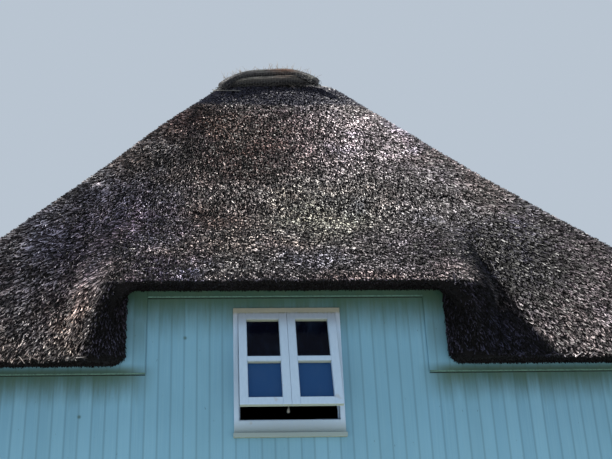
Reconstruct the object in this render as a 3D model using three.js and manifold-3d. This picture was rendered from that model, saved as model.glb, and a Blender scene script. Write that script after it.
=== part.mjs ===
// Thatched cottage: board walls under a hipped thatch roof whose eave is lifted over each gable window.
// Millimetres, +Z up. The origin is on the ground, at the middle of the house.
// The front gable faces -Y, and the door is in the long wall at +X.

import * as THREE from 'three';
import { mergeVertices } from 'three/addons/utils/BufferGeometryUtils.js';
import Module from 'manifold-3d';

const wasm = await Module();
wasm.setup();

// Clearance between solids that rest on each other
const GAP = 0.3;
// How far a cut reaches past the faces that it opens
const CUT_PAST = 100;
// Steps in a quarter turn of the rounded outlines
const ARC_STEPS = 5;

// Walls, plinth and floors
const WALL_HALF_WIDTH = 4170;
const WALL_HALF_LENGTH = 5750;
const WALL_THICKNESS = 220;
const PLINTH_TOP = 350;
const PLINTH_PROUD = 25;
const PLINTH_THICKNESS = 300;
const UPPER_FLOOR_BOTTOM = 2450;
const UPPER_FLOOR_TOP = 2650;

// Roof: eaves at the walls, the lifted eave over the gable windows, and the ridge
const EAVE_OVERHANG = 360;
const LOW_EAVE = 3690;
const HIGH_EAVE = 4430;
const THATCH_THICKNESS = 330;
const CROWN_HEIGHT = 8420;
const CROWN_HALF_WIDTH = 870;
const CROWN_HALF_LENGTH = 3060;
const CROWN_TOP_INSET = 260;
const CROWN_TOP_RISE = 40;
const SLOPE_BOW = 10;
const HIP_RADIUS = 250;
const SLOPE_LEVELS = 8;
const VOID_TOP = 8100;
const VOID_RADIUS = 100;

// Lifted eave, measured from the window's axis
const WINDOW_AXIS = -200;
const LIFT_HALF_WIDTH = 1540;
const LIFT_MERGE_HEIGHT = 5620;
const LIFT_SHOULDER_START = 1680;
const LIFT_SHOULDER_END = 2300;
const LIFT_COLUMNS = 12;
const LIFT_LEVELS = 4;
const LIFT_EMBED = 120;
const LIFT_ROOM_REACH = 1500;
const EAR_FLARE = 390;
const EAR_CORNER_RADIUS = 500;
const EAR_FOOT_RADIUS = 120;

// Ridge cap and the two rolls that close each of its ends
const CAP_AXIS = -80;
const CAP_HALF_WIDTH = 850;
const CAP_HALF_LENGTH = 2960;
const CAP_TOP = 8690;
const CAP_DROP = 310;
const CAP_ROUNDNESS = 2.4;
const CAP_THICKNESS = 230;
const CAP_STEPS = 12;
const ROLL_AXIS = -135;
const ROLL_RADIUS = 70;
const ROLL_RISE = 20;
const ROLL_TILT = 0.06;
const UPPER_ROLL_HALF_WIDTH = 672;
const UPPER_ROLL_FALL = 300;
const LOWER_ROLL_HALF_WIDTH = 540;
const LOWER_ROLL_FALL = 60;
const LOWER_ROLL_STEP = 30;
const ROLL_POINTS = 9;
const ROLL_STEPS = 14;

// Flat boards that border the wall under the thatch
const BORDER_THICKNESS = 18;
const LOW_BORDER_HEIGHT = 80;
const HIGH_BORDER_HEIGHT = 70;
const BORDER_WIDTH = 200;

// Windows: frame, sashes and sill
const WINDOW_WIDTH = 1030;
const GABLE_WINDOW_TOP = 4250;
const GROUND_WINDOW_TOP = 2200;
const WINDOW_HEIGHT = 1238;
const FRAME_FACE = 46;
const FRAME_DEPTH = 130;
const FRAME_PROUD = 18;
const FRAME_BOTTOM_RAIL = 158;
const SASH_STILE = 82;
const SASH_BAR = 70;
const SASH_THICKNESS = 42;
const SASH_GAP = 2;
const SASH_FOOT_GAP = 34;
const SASH_TILT = THREE.MathUtils.degToRad(18);
const GLASS_THICKNESS = 5;
const GLASS_REBATE = 25;
const GLASS_LAP = 40;
const SILL_HEIGHT = 40;
const SILL_PROUD = 55;
const SILL_OVERLAP = 8;
const GROUND_WINDOW_OFFSET = 1950;
const SIDE_WINDOW_OFFSET = 3300;

// Door in the +X wall
const DOOR_WIDTH = 1000;
const DOOR_TOP = 2330;
const DOOR_FRAME_FACE = 60;
const DOOR_LEAF_THICKNESS = 50;
const DOOR_LEAF_SETBACK = 20;
const KNOB_RADIUS = 22;
const KNOB_LENGTH = 60;
const KNOB_HEIGHT = 1350;
const KNOB_INSET = 90;
const STEP_DEPTH = 300;
const STEP_HEIGHT = 170;
const STEP_WIDTH = 1300;

const EAVE_HALF_WIDTH = WALL_HALF_WIDTH + EAVE_OVERHANG;
const EAVE_HALF_LENGTH = WALL_HALF_LENGTH + EAVE_OVERHANG;
const WALL_INNER_X = WALL_HALF_WIDTH - WALL_THICKNESS;
const WALL_INNER_Y = WALL_HALF_LENGTH - WALL_THICKNESS;

const materials = {
  boards: new THREE.MeshStandardMaterial({ color: 0x6294a8, roughness: 0.6 }),
  thatch: new THREE.MeshStandardMaterial({ color: 0x4b4541, roughness: 0.95 }),
  ridge: new THREE.MeshStandardMaterial({ color: 0x4a4a40, roughness: 0.95 }),
  whiteWood: new THREE.MeshStandardMaterial({ color: 0xdfe6ec, roughness: 0.45 }),
  glass: new THREE.MeshStandardMaterial({ color: 0x18233f, roughness: 0.05 }),
  plinth: new THREE.MeshStandardMaterial({ color: 0x8b8178, roughness: 0.9 }),
  floorBoards: new THREE.MeshStandardMaterial({ color: 0x9a7a55, roughness: 0.7 }),
  steel: new THREE.MeshStandardMaterial({ color: 0xa8a8a4, roughness: 0.4, metalness: 0.9 }),
};

const house = new THREE.Group();

// Adds one named piece to a group
function addPiece(name, geometry, material, parent = house) {
  const mesh = new THREE.Mesh(geometry, material);
  mesh.name = name;
  parent.add(mesh);
  return mesh;
}

// Turns a closed geometry into a solid that can be joined and cut
function solidOf(geometry) {
  const bare = geometry.index ? geometry.toNonIndexed() : geometry.clone();
  bare.deleteAttribute('normal');
  bare.deleteAttribute('uv');
  const merged = mergeVertices(bare, 1e-3);
  return new wasm.Manifold(new wasm.Mesh({
    numProp: 3,
    vertProperties: new Float32Array(merged.attributes.position.array),
    triVerts: new Uint32Array(merged.index.array),
  }));
}

// Turns a solid back into a geometry
function geometryOf(solid) {
  const mesh = solid.getMesh();
  const geometry = new THREE.BufferGeometry();
  geometry.setAttribute('position', new THREE.BufferAttribute(mesh.vertProperties, 3));
  geometry.setIndex(new THREE.BufferAttribute(mesh.triVerts, 1));
  geometry.computeVertexNormals();
  return geometry;
}

// Box between two corners
function box(x0, x1, y0, y1, z0, z1) {
  const geometry = new THREE.BoxGeometry(x1 - x0, y1 - y0, z1 - z0);
  geometry.translate((x0 + x1) / 2, (y0 + y1) / 2, (z0 + z1) / 2);
  return geometry;
}

function shapeOf(points) {
  return new THREE.Shape(points.map(([a, b]) => new THREE.Vector2(a, b)));
}

// Extrudes an outline in X and Z from y0 to y1
function prismAlongY(points, y0, y1) {
  const geometry = new THREE.ExtrudeGeometry(shapeOf(points), { depth: y1 - y0, bevelEnabled: false });
  geometry.rotateX(Math.PI / 2);
  geometry.translate(0, y1, 0);
  return geometry;
}

// Panel with an outline and holes in X and Z, from y0 to y1
function panelAlongY(points, y0, y1, holes) {
  const cutters = holes.map((hole) => solidOf(prismAlongY(hole, y0 - CUT_PAST, y1 + CUT_PAST)));
  const panel = solidOf(prismAlongY(points, y0, y1));
  return geometryOf(cutters.reduce((rest, cutter) => rest.subtract(cutter), panel));
}

// Panel with an outline and holes in Y and Z, from x0 to x1
function panelAlongX(points, x0, x1, holes = []) {
  return panelAlongY(points, -x1, -x0, holes).rotateZ(Math.PI / 2);
}

// Extrudes an outline in X and Y from z0 to z1
function prismAlongZ(points, z0, z1) {
  const geometry = new THREE.ExtrudeGeometry(shapeOf(points), { depth: z1 - z0, bevelEnabled: false });
  geometry.translate(0, 0, z0);
  return geometry;
}

// Closed solid through sections of equally many points, whose two ends are flat.
// The sections are level and go up, or stand in X and Z and go towards -Y; their points turn anticlockwise.
function loft(sections) {
  const count = sections[0].length;
  const rings = sections.map((section) => section.map((point) => new THREE.Vector3(...point)));
  const along = rings[rings.length - 1][0].clone().sub(rings[0][0]);
  const positions = [];
  const index = [];
  rings.flat().forEach((point) => positions.push(point.x, point.y, point.z));
  for (let level = 0; level < rings.length - 1; level += 1) {
    for (let i = 0; i < count; i += 1) {
      const next = (i + 1) % count;
      const a = level * count + i;
      const b = level * count + next;
      index.push(a, b, b + count, a, b + count, a + count);
    }
  }
  const flat = (point) => (Math.abs(along.z) > Math.abs(along.y)
    ? new THREE.Vector2(point.x, point.y)
    : new THREE.Vector2(point.x, point.z));
  const last = (rings.length - 1) * count;
  THREE.ShapeUtils.triangulateShape(rings[0].map(flat), []).forEach(([a, b, c]) => index.push(c, b, a));
  THREE.ShapeUtils.triangulateShape(rings[rings.length - 1].map(flat), []).forEach(([a, b, c]) => {
    index.push(last + a, last + b, last + c);
  });
  const geometry = new THREE.BufferGeometry();
  geometry.setAttribute('position', new THREE.Float32BufferAttribute(positions, 3));
  geometry.setIndex(index);
  return geometry;
}

// Rectangle outline in the wall's plane
function rectangle(x0, x1, z0, z1) {
  return [[x0, z0], [x1, z0], [x1, z1], [x0, z1]];
}

// Share of the way up the slope at a height
function rise(z) {
  return (z - LOW_EAVE) / (CROWN_HEIGHT - LOW_EAVE);
}

// Half width of the thatch at a height, slightly hollow between eave and ridge
function halfWidthAt(z) {
  const h = rise(z);
  return EAVE_HALF_WIDTH + (CROWN_HALF_WIDTH - EAVE_HALF_WIDTH) * h - SLOPE_BOW * 4 * h * (1 - h);
}

// Half length of the thatch at a height
function halfLengthAt(z) {
  const h = rise(z);
  return EAVE_HALF_LENGTH + (CROWN_HALF_LENGTH - EAVE_HALF_LENGTH) * h - SLOPE_BOW * 4 * h * (1 - h);
}

// Rounded rectangle ring, level at z
function ring(halfWidth, halfLength, radius, z) {
  const points = [];
  const corners = [[1, -1, -Math.PI / 2], [1, 1, 0], [-1, 1, Math.PI / 2], [-1, -1, Math.PI]];
  corners.forEach(([sx, sy, start]) => {
    for (let step = 0; step <= ARC_STEPS; step += 1) {
      const angle = start + (Math.PI / 2) * (step / ARC_STEPS);
      points.push([
        sx * (halfWidth - radius) + radius * Math.cos(angle),
        sy * (halfLength - radius) + radius * Math.sin(angle),
        z,
      ]);
    }
  });
  return points;
}

// Horizontal thickness of a slope's thatch, from its run over its height
function horizontalThickness(run) {
  return THATCH_THICKNESS * Math.hypot(1, run / (CROWN_HEIGHT - LOW_EAVE));
}

const SIDE_SHELL = horizontalThickness(EAVE_HALF_WIDTH - CROWN_HALF_WIDTH);
const END_SHELL = horizontalThickness(EAVE_HALF_LENGTH - CROWN_HALF_LENGTH);

// Outer form of the roof, grown by a clearance for pieces that lie on it
function roofForm(clearance = 0) {
  const rings = [];
  for (let level = 0; level <= SLOPE_LEVELS; level += 1) {
    const z = LOW_EAVE + ((CROWN_HEIGHT - LOW_EAVE) * level) / SLOPE_LEVELS;
    rings.push(ring(halfWidthAt(z) + clearance, halfLengthAt(z) + clearance, HIP_RADIUS, z));
  }
  const topHalfWidth = CROWN_HALF_WIDTH - CROWN_TOP_INSET;
  const topHalfLength = CROWN_HALF_LENGTH - CROWN_TOP_INSET;
  rings.push(ring(topHalfWidth, topHalfLength, HIP_RADIUS, CROWN_HEIGHT + CROWN_TOP_RISE + clearance));
  return solidOf(loft(rings));
}

// Hollow under the thatch
function roofVoid() {
  const foot = LOW_EAVE - CUT_PAST;
  const rings = [ring(EAVE_HALF_WIDTH - SIDE_SHELL, EAVE_HALF_LENGTH - END_SHELL, VOID_RADIUS, foot)];
  for (let level = 0; level <= SLOPE_LEVELS; level += 1) {
    const z = LOW_EAVE + ((VOID_TOP - LOW_EAVE) * level) / SLOPE_LEVELS;
    rings.push(ring(halfWidthAt(z) - SIDE_SHELL, halfLengthAt(z) - END_SHELL, VOID_RADIUS, z));
  }
  return solidOf(loft(rings));
}

// Face of the lifted thatch at a height, at the front
function liftedFaceAt(z) {
  const share = Math.max((z - HIGH_EAVE) / (LIFT_MERGE_HEIGHT - HIGH_EAVE), 0);
  return -EAVE_HALF_LENGTH + share * (EAVE_HALF_LENGTH - halfLengthAt(LIFT_MERGE_HEIGHT));
}

// Thatch that swells out of the front slope around and over the lifted eave
function liftedThatch() {
  const levels = [LOW_EAVE];
  for (let level = 0; level <= LIFT_LEVELS; level += 1) {
    levels.push(HIGH_EAVE + ((LIFT_MERGE_HEIGHT - HIGH_EAVE) * level) / LIFT_LEVELS);
  }
  levels.push(LIFT_MERGE_HEIGHT + LIFT_EMBED);
  const sections = levels.map((z) => {
    const slopeFace = -halfLengthAt(z);
    const front = Math.min(liftedFaceAt(z), slopeFace + LIFT_EMBED);
    const points = [];
    const columns = 2 * LIFT_COLUMNS;
    for (let i = 0; i <= columns; i += 1) {
      const side = i < LIFT_COLUMNS ? -1 : 1;
      const share = Math.abs(i - LIFT_COLUMNS) / LIFT_COLUMNS;
      const across = share * LIFT_SHOULDER_END;
      const fall = THREE.MathUtils.smoothstep(across, LIFT_SHOULDER_START, LIFT_SHOULDER_END);
      points.push([WINDOW_AXIS + side * across, front + fall * (slopeFace + LIFT_EMBED - front), z]);
    }
    const back = slopeFace + END_SHELL - LIFT_EMBED;
    points.push([WINDOW_AXIS + LIFT_SHOULDER_END, back, z], [WINDOW_AXIS - LIFT_SHOULDER_END, back, z]);
    return points;
  });
  return solidOf(loft(sections));
}

// Rounded foot of an ear, from its underside up to its cheek
function footArc(halfWidth, base) {
  const points = [];
  for (let step = 0; step <= ARC_STEPS; step += 1) {
    const angle = (Math.PI / 2) * (step / ARC_STEPS);
    points.push([
      halfWidth + EAR_FOOT_RADIUS * (1 - Math.sin(angle)),
      base + EAR_FOOT_RADIUS * (1 - Math.cos(angle)),
    ]);
  }
  return points;
}

// Outline of the gap between the ears, seen from the front, at a share of the way out from the wall
function earOutline(share, y) {
  const halfWidth = LIFT_HALF_WIDTH + EAR_FLARE * (1 - Math.sqrt(1 - share * share));
  const radius = GAP + (EAR_CORNER_RADIUS - GAP) * share;
  const half = [[halfWidth + EAR_FOOT_RADIUS, LOW_EAVE - CUT_PAST], ...footArc(halfWidth, LOW_EAVE)];
  for (let step = 0; step <= ARC_STEPS; step += 1) {
    const angle = (Math.PI / 2) * (step / ARC_STEPS);
    half.push([halfWidth - radius * (1 - Math.cos(angle)), HIGH_EAVE - radius * (1 - Math.sin(angle))]);
  }
  const mirrored = half.map(([x, z]) => [-x, z]).reverse();
  return [...half, ...mirrored].map(([x, z]) => [WINDOW_AXIS + x, y, z]);
}

// Gap between the ears, rounded like the thatch that borders it
function earGap() {
  const sections = [earOutline(0, -WALL_INNER_Y + CUT_PAST)];
  const root = WALL_HALF_LENGTH + BORDER_THICKNESS + 2 * GAP;
  for (let step = 0; step <= ARC_STEPS; step += 1) {
    const share = Math.sin((Math.PI / 2) * (step / ARC_STEPS));
    sections.push(earOutline(share, -root - (EAVE_HALF_LENGTH - root) * share));
  }
  sections.push(earOutline(1, -EAVE_HALF_LENGTH - CUT_PAST));
  return solidOf(loft(sections));
}

// Room under the lifted thatch, from the wall's outer face back into the roof's hollow
function liftedRoom() {
  const slope = (LIFT_MERGE_HEIGHT - HIGH_EAVE) / (EAVE_HALF_LENGTH - halfLengthAt(LIFT_MERGE_HEIGHT));
  const shell = THATCH_THICKNESS * Math.hypot(1, 1 / slope);
  const start = -EAVE_HALF_LENGTH + shell;
  const end = start + LIFT_ROOM_REACH;
  const outline = [
    [-WALL_HALF_LENGTH, LOW_EAVE - CUT_PAST],
    [end, LOW_EAVE - CUT_PAST],
    [end, HIGH_EAVE + LIFT_ROOM_REACH * slope],
    [start, HIGH_EAVE],
    [-WALL_HALF_LENGTH, HIGH_EAVE],
  ];
  return solidOf(panelAlongX(outline, WINDOW_AXIS - LIFT_HALF_WIDTH, WINDOW_AXIS + LIFT_HALF_WIDTH));
}

// Half turn about Z that keeps the window's axis, for the back gable
function toBack(solid) {
  return solid.rotate([0, 0, 180]).translate([2 * WINDOW_AXIS, 0, 0]);
}

// Plan of one slope, bounded by the hips
function slopePlan(side) {
  const run = (EAVE_HALF_LENGTH - CROWN_HALF_LENGTH) / (EAVE_HALF_WIDTH - CROWN_HALF_WIDTH);
  const apex = CROWN_HALF_LENGTH - CROWN_HALF_WIDTH * run;
  const outX = EAVE_HALF_WIDTH + CUT_PAST;
  const outY = apex + outX * run;
  const plans = {
    front: [[-outX, -outY - GAP], [outX, -outY - GAP], [0, -apex - GAP]],
    back: [[0, apex + GAP], [outX, outY + GAP], [-outX, outY + GAP]],
    left: [[-GAP / 2, -apex], [-GAP / 2, apex], [-outX, outY], [-outX, -outY]],
    right: [[GAP / 2, -apex], [outX, -outY], [outX, outY], [GAP / 2, apex]],
  };
  return solidOf(prismAlongZ(plans[side], 0, CAP_TOP));
}

function addThatch() {
  const lifts = [liftedThatch(), toBack(liftedThatch())];
  const cuts = [roofVoid(), earGap(), liftedRoom(), toBack(earGap()), toBack(liftedRoom())];
  let shell = lifts.reduce((sum, lift) => sum.add(lift), roofForm());
  shell = cuts.reduce((rest, cut) => rest.subtract(cut), shell);
  ['front', 'back', 'left', 'right'].forEach((side) => {
    addPiece(`thatch_${side}`, geometryOf(shell.intersect(slopePlan(side))), materials.thatch);
  });
}

// How far the ridge cap's upper face has fallen at a distance from its middle
function capFall(across) {
  return CAP_DROP * Math.abs(across / CAP_HALF_WIDTH) ** CAP_ROUNDNESS;
}

// Saddle of reed over the ridge
function addRidgeCap() {
  const upper = [];
  for (let i = 0; i <= CAP_STEPS; i += 1) {
    const across = CAP_HALF_WIDTH * ((2 * i) / CAP_STEPS - 1);
    upper.push([CAP_AXIS + across, CAP_TOP - capFall(across)]);
  }
  const lower = upper.map(([x, z]) => [x, z - CAP_THICKNESS]).reverse();
  const cap = solidOf(prismAlongY([...upper, ...lower].reverse(), -CAP_HALF_LENGTH, CAP_HALF_LENGTH));
  addPiece('ridge_cap', geometryOf(cap.subtract(roofForm(GAP))), materials.ridge);
}

// Roll of reed bent over one end of the ridge, leaning out with the slope as it falls
function ridgeRoll(end, halfWidth, fallAtEnd, drop, offset, clearance = 0) {
  const lean = (EAVE_HALF_LENGTH - CROWN_HALF_LENGTH) / (CROWN_HEIGHT - LOW_EAVE);
  const points = [];
  for (let i = 0; i < ROLL_POINTS; i += 1) {
    const across = (halfWidth + clearance) * ((2 * i) / (ROLL_POINTS - 1) - 1);
    const fall = fallAtEnd * Math.abs(across / halfWidth) ** CAP_ROUNDNESS;
    const z = CAP_TOP + ROLL_RISE - drop - fall + ROLL_TILT * across;
    points.push(new THREE.Vector3(ROLL_AXIS + across, end * (offset + fall * lean), z));
  }
  const section = new THREE.Shape();
  section.absarc(0, 0, ROLL_RADIUS + clearance, 0, 2 * Math.PI);
  return new THREE.ExtrudeGeometry(section, {
    steps: ROLL_STEPS,
    curveSegments: ARC_STEPS,
    bevelEnabled: false,
    extrudePath: new THREE.CatmullRomCurve3(points),
  });
}

// Two rolls at each end of the ridge: a bent one, and a straighter one tucked under it
function addRidgeRolls() {
  const offset = CAP_HALF_LENGTH + ROLL_RADIUS + GAP;
  const slope = roofForm(GAP);
  const upperSize = [UPPER_ROLL_HALF_WIDTH, UPPER_ROLL_FALL, ROLL_RADIUS, offset];
  const lowerSize = [LOWER_ROLL_HALF_WIDTH, LOWER_ROLL_FALL, 3 * ROLL_RADIUS, offset + LOWER_ROLL_STEP];
  [['front', -1], ['back', 1]].forEach(([name, end]) => {
    const upper = solidOf(ridgeRoll(end, ...upperSize));
    const clear = solidOf(ridgeRoll(end, ...upperSize, 2 * GAP));
    const lower = solidOf(ridgeRoll(end, ...lowerSize));
    addPiece(`ridge_roll_upper_${name}`, geometryOf(upper.subtract(slope)), materials.ridge);
    addPiece(`ridge_roll_lower_${name}`, geometryOf(lower.subtract(slope).subtract(clear)), materials.ridge);
  });
}

// Hole for a window in a wall, with clearance
function windowHole(centre, top) {
  return rectangle(
    centre - WINDOW_WIDTH / 2 - GAP,
    centre + WINDOW_WIDTH / 2 + GAP,
    top - WINDOW_HEIGHT - GAP,
    top + GAP,
  );
}

// Wall under a gable, raised between the ears, with its window holes
function gableWallOutline() {
  const edge = LIFT_HALF_WIDTH - GAP;
  const right = [...footArc(edge, LOW_EAVE - GAP), [edge, HIGH_EAVE - GAP]];
  const left = right.map(([x, z]) => [-x, z]).reverse();
  return [
    [-WALL_HALF_WIDTH, PLINTH_TOP + GAP],
    [WALL_HALF_WIDTH, PLINTH_TOP + GAP],
    [WALL_HALF_WIDTH, LOW_EAVE - GAP],
    ...[...right, ...left].map(([x, z]) => [WINDOW_AXIS + x, z]),
    [-WALL_HALF_WIDTH, LOW_EAVE - GAP],
  ];
}

const gableHoles = [
  windowHole(WINDOW_AXIS, GABLE_WINDOW_TOP),
  windowHole(WINDOW_AXIS - GROUND_WINDOW_OFFSET, GROUND_WINDOW_TOP),
  windowHole(WINDOW_AXIS + GROUND_WINDOW_OFFSET, GROUND_WINDOW_TOP),
];

const doorHole = rectangle(-DOOR_WIDTH / 2 - GAP, DOOR_WIDTH / 2 + GAP, PLINTH_TOP + GAP, DOOR_TOP + GAP);

function addWalls() {
  const outline = gableWallOutline();
  const inner = WALL_INNER_Y - GAP;
  const frontWall = panelAlongY(outline, -WALL_HALF_LENGTH, -WALL_INNER_Y, gableHoles);
  const backWall = panelAlongY(outline, WALL_INNER_Y, WALL_HALF_LENGTH, gableHoles);
  addPiece('wall_front', frontWall, materials.boards);
  addPiece('wall_back', backWall, materials.boards);
  const sideHoles = [-SIDE_WINDOW_OFFSET, SIDE_WINDOW_OFFSET].map((y) => windowHole(y, GROUND_WINDOW_TOP));
  const side = rectangle(-inner, inner, PLINTH_TOP + GAP, LOW_EAVE - GAP);
  const sideWithDoor = [
    [-inner, PLINTH_TOP + GAP],
    [doorHole[0][0], PLINTH_TOP + GAP],
    [doorHole[0][0], doorHole[2][1]],
    [doorHole[1][0], doorHole[2][1]],
    [doorHole[1][0], PLINTH_TOP + GAP],
    [inner, PLINTH_TOP + GAP],
    [inner, LOW_EAVE - GAP],
    [-inner, LOW_EAVE - GAP],
  ];
  const leftWall = panelAlongX(side, -WALL_HALF_WIDTH, -WALL_INNER_X, sideHoles);
  const rightWall = panelAlongX(sideWithDoor, WALL_INNER_X, WALL_HALF_WIDTH, sideHoles);
  addPiece('wall_left', leftWall, materials.boards);
  addPiece('wall_right', rightWall, materials.boards);
}

function addPlinthAndFloors() {
  const outX = WALL_HALF_WIDTH + PLINTH_PROUD;
  const outY = WALL_HALF_LENGTH + PLINTH_PROUD;
  const inX = outX - PLINTH_THICKNESS;
  const inY = outY - PLINTH_THICKNESS;
  addPiece('plinth_front', box(-outX, outX, -outY, -inY, 0, PLINTH_TOP), materials.plinth);
  addPiece('plinth_back', box(-outX, outX, inY, outY, 0, PLINTH_TOP), materials.plinth);
  addPiece('plinth_left', box(-outX, -inX, -inY + GAP, inY - GAP, 0, PLINTH_TOP), materials.plinth);
  addPiece('plinth_right', box(inX, outX, -inY + GAP, inY - GAP, 0, PLINTH_TOP), materials.plinth);
  const groundFloor = box(-inX + GAP, inX - GAP, -inY + GAP, inY - GAP, 0, PLINTH_TOP);
  addPiece('ground_floor', groundFloor, materials.floorBoards);
  const floorX = WALL_INNER_X - GAP;
  const floorY = WALL_INNER_Y - GAP;
  const upperFloor = box(-floorX, floorX, -floorY, floorY, UPPER_FLOOR_BOTTOM, UPPER_FLOOR_TOP);
  addPiece('upper_floor', upperFloor, materials.floorBoards);
}

// Boards along the top of the front gable: one under and beside each ear, one under the lifted eave
function addFrontBorders() {
  const inner = LIFT_HALF_WIDTH - BORDER_WIDTH;
  const y0 = -WALL_HALF_LENGTH - GAP - BORDER_THICKNESS;
  const y1 = -WALL_HALF_LENGTH - GAP;
  const foot = LOW_EAVE - LOW_BORDER_HEIGHT;
  [['left', -1], ['right', 1]].forEach(([name, side]) => {
    const outline = [
      [inner, foot],
      [side * -WINDOW_AXIS + WALL_HALF_WIDTH, foot],
      [side * -WINDOW_AXIS + WALL_HALF_WIDTH, LOW_EAVE - GAP],
      ...footArc(LIFT_HALF_WIDTH - GAP, LOW_EAVE - GAP),
      [LIFT_HALF_WIDTH - GAP, HIGH_EAVE - GAP],
      [inner, HIGH_EAVE - GAP],
    ].map(([x, z]) => [WINDOW_AXIS + side * x, z]);
    const turning = side > 0 ? outline : outline.reverse();
    addPiece(`border_front_${name}`, prismAlongY(turning, y0, y1), materials.boards);
  });
  const rail = inner - GAP;
  const bottom = HIGH_EAVE - HIGH_BORDER_HEIGHT;
  const top = HIGH_EAVE - GAP;
  const railBox = box(WINDOW_AXIS - rail, WINDOW_AXIS + rail, y0, y1, bottom, top);
  addPiece('border_front_top', railBox, materials.boards);
}

// One band along the top of the back gable
function addBackBorder() {
  const inner = LIFT_HALF_WIDTH - BORDER_WIDTH;
  const outerLeft = -WALL_HALF_WIDTH - WINDOW_AXIS;
  const outerRight = WALL_HALF_WIDTH - WINDOW_AXIS;
  const foot = LOW_EAVE - LOW_BORDER_HEIGHT;
  const top = LOW_EAVE - GAP;
  const edge = LIFT_HALF_WIDTH - GAP;
  const right = [...footArc(edge, top), [edge, HIGH_EAVE - GAP]];
  const left = right.map(([x, z]) => [-x, z]).reverse();
  const outline = [
    [outerLeft, foot],
    [-inner, foot],
    [-inner, HIGH_EAVE - HIGH_BORDER_HEIGHT],
    [inner, HIGH_EAVE - HIGH_BORDER_HEIGHT],
    [inner, foot],
    [outerRight, foot],
    [outerRight, top],
    ...right,
    ...left,
    [outerLeft, top],
  ].map(([x, z]) => [WINDOW_AXIS + x, z]);
  const y0 = WALL_HALF_LENGTH + GAP;
  addPiece('border_back', prismAlongY(outline, y0, y0 + BORDER_THICKNESS), materials.boards);
}

// Boards under the two long eaves
function addSideBorders() {
  const x0 = WALL_HALF_WIDTH + GAP;
  const x1 = x0 + BORDER_THICKNESS;
  const z0 = LOW_EAVE - LOW_BORDER_HEIGHT;
  const z1 = LOW_EAVE - GAP;
  const y = WALL_HALF_LENGTH;
  addPiece('border_left', box(-x1, -x0, -y, y, z0, z1), materials.boards);
  addPiece('border_right', box(x0, x1, -y, y, z0, z1), materials.boards);
}

// Group whose X runs along a wall, whose -Y points out of it and whose Z is up
function wallGroup(x, y, turn) {
  const group = new THREE.Group();
  group.position.set(x, y, 0);
  group.rotation.z = turn;
  house.add(group);
  return group;
}

// Holes for the panes of one sash, above and below its bar
function paneHoles(x0, x1, z0, z1) {
  const middle = (z0 + z1) / 2;
  const left = x0 + SASH_STILE;
  const right = x1 - SASH_STILE;
  return [
    rectangle(left, right, z0 + SASH_STILE, middle - SASH_BAR / 2),
    rectangle(left, right, middle + SASH_BAR / 2, z1 - SASH_STILE),
  ];
}

// Clear opening inside a window frame whose top is at a height
function clearOpening(top) {
  return {
    half: WINDOW_WIDTH / 2 - FRAME_FACE,
    bottom: top - WINDOW_HEIGHT + FRAME_BOTTOM_RAIL,
    top: top - FRAME_FACE,
  };
}

// Sill board under a frame; its group's origin is in the wall's outer face
function sillGeometry(top) {
  const half = WINDOW_WIDTH / 2 + SILL_OVERLAP;
  const z = top - WINDOW_HEIGHT;
  return box(-half, half, -SILL_PROUD, -GAP, z, z + SILL_HEIGHT);
}

// Frame of the front gable window, with its opening clear
function gableFrame(top) {
  const open = clearOpening(top);
  const outer = rectangle(-WINDOW_WIDTH / 2, WINDOW_WIDTH / 2, top - WINDOW_HEIGHT, top);
  const hole = rectangle(-open.half, open.half, open.bottom, open.top);
  return solidOf(panelAlongY(outer, -FRAME_PROUD, FRAME_DEPTH, [hole]));
}

// Frame, with both sashes shut in it and its sill below
function shutWindow(top) {
  const open = clearOpening(top);
  const outer = rectangle(-WINDOW_WIDTH / 2, WINDOW_WIDTH / 2, top - WINDOW_HEIGHT, top);
  const panes = [
    ...paneHoles(-open.half, 0, open.bottom, open.top),
    ...paneHoles(0, open.half, open.bottom, open.top),
  ];
  const frame = solidOf(panelAlongY(outer, -FRAME_PROUD, FRAME_DEPTH, panes));
  return geometryOf(frame.add(solidOf(sillGeometry(top))));
}

// Front gable window, whose two sashes hang from the head and stand open at the foot
function addOpenGableWindow() {
  const top = GABLE_WINDOW_TOP;
  const open = clearOpening(top);
  const group = wallGroup(WINDOW_AXIS, -WALL_HALF_LENGTH, 0);
  const sillTop = top - WINDOW_HEIGHT + SILL_HEIGHT;
  const clearSill = solidOf(box(-WINDOW_WIDTH, WINDOW_WIDTH, -SILL_PROUD, 0, 0, sillTop + GAP));
  addPiece('gable_window_frame', geometryOf(gableFrame(top).subtract(clearSill)), materials.whiteWood, group);
  addPiece('gable_window_sill', sillGeometry(top), materials.whiteWood, group);

  const height = open.top - open.bottom - SASH_FOOT_GAP;
  const pivot = new THREE.Group();
  pivot.position.set(0, -FRAME_PROUD, open.top);
  pivot.rotation.x = -SASH_TILT;
  group.add(pivot);
  const sashes = [
    ['left', -open.half + SASH_GAP, -SASH_GAP / 2],
    ['right', SASH_GAP / 2, open.half - SASH_GAP],
  ];
  sashes.forEach(([name, x0, x1]) => {
    const holes = paneHoles(x0, x1, -height, -GAP);
    const sash = panelAlongY(rectangle(x0, x1, -height, -GAP), 0, SASH_THICKNESS, holes);
    addPiece(`gable_window_sash_${name}`, sash, materials.whiteWood, pivot);
    const back = SASH_THICKNESS + GAP;
    const lap = SASH_STILE - GLASS_REBATE;
    const glass = box(x0 + lap, x1 - lap, back, back + GLASS_THICKNESS, -height + lap, -lap);
    addPiece(`gable_window_glass_${name}`, glass, materials.glass, pivot);
  });
}

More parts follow.
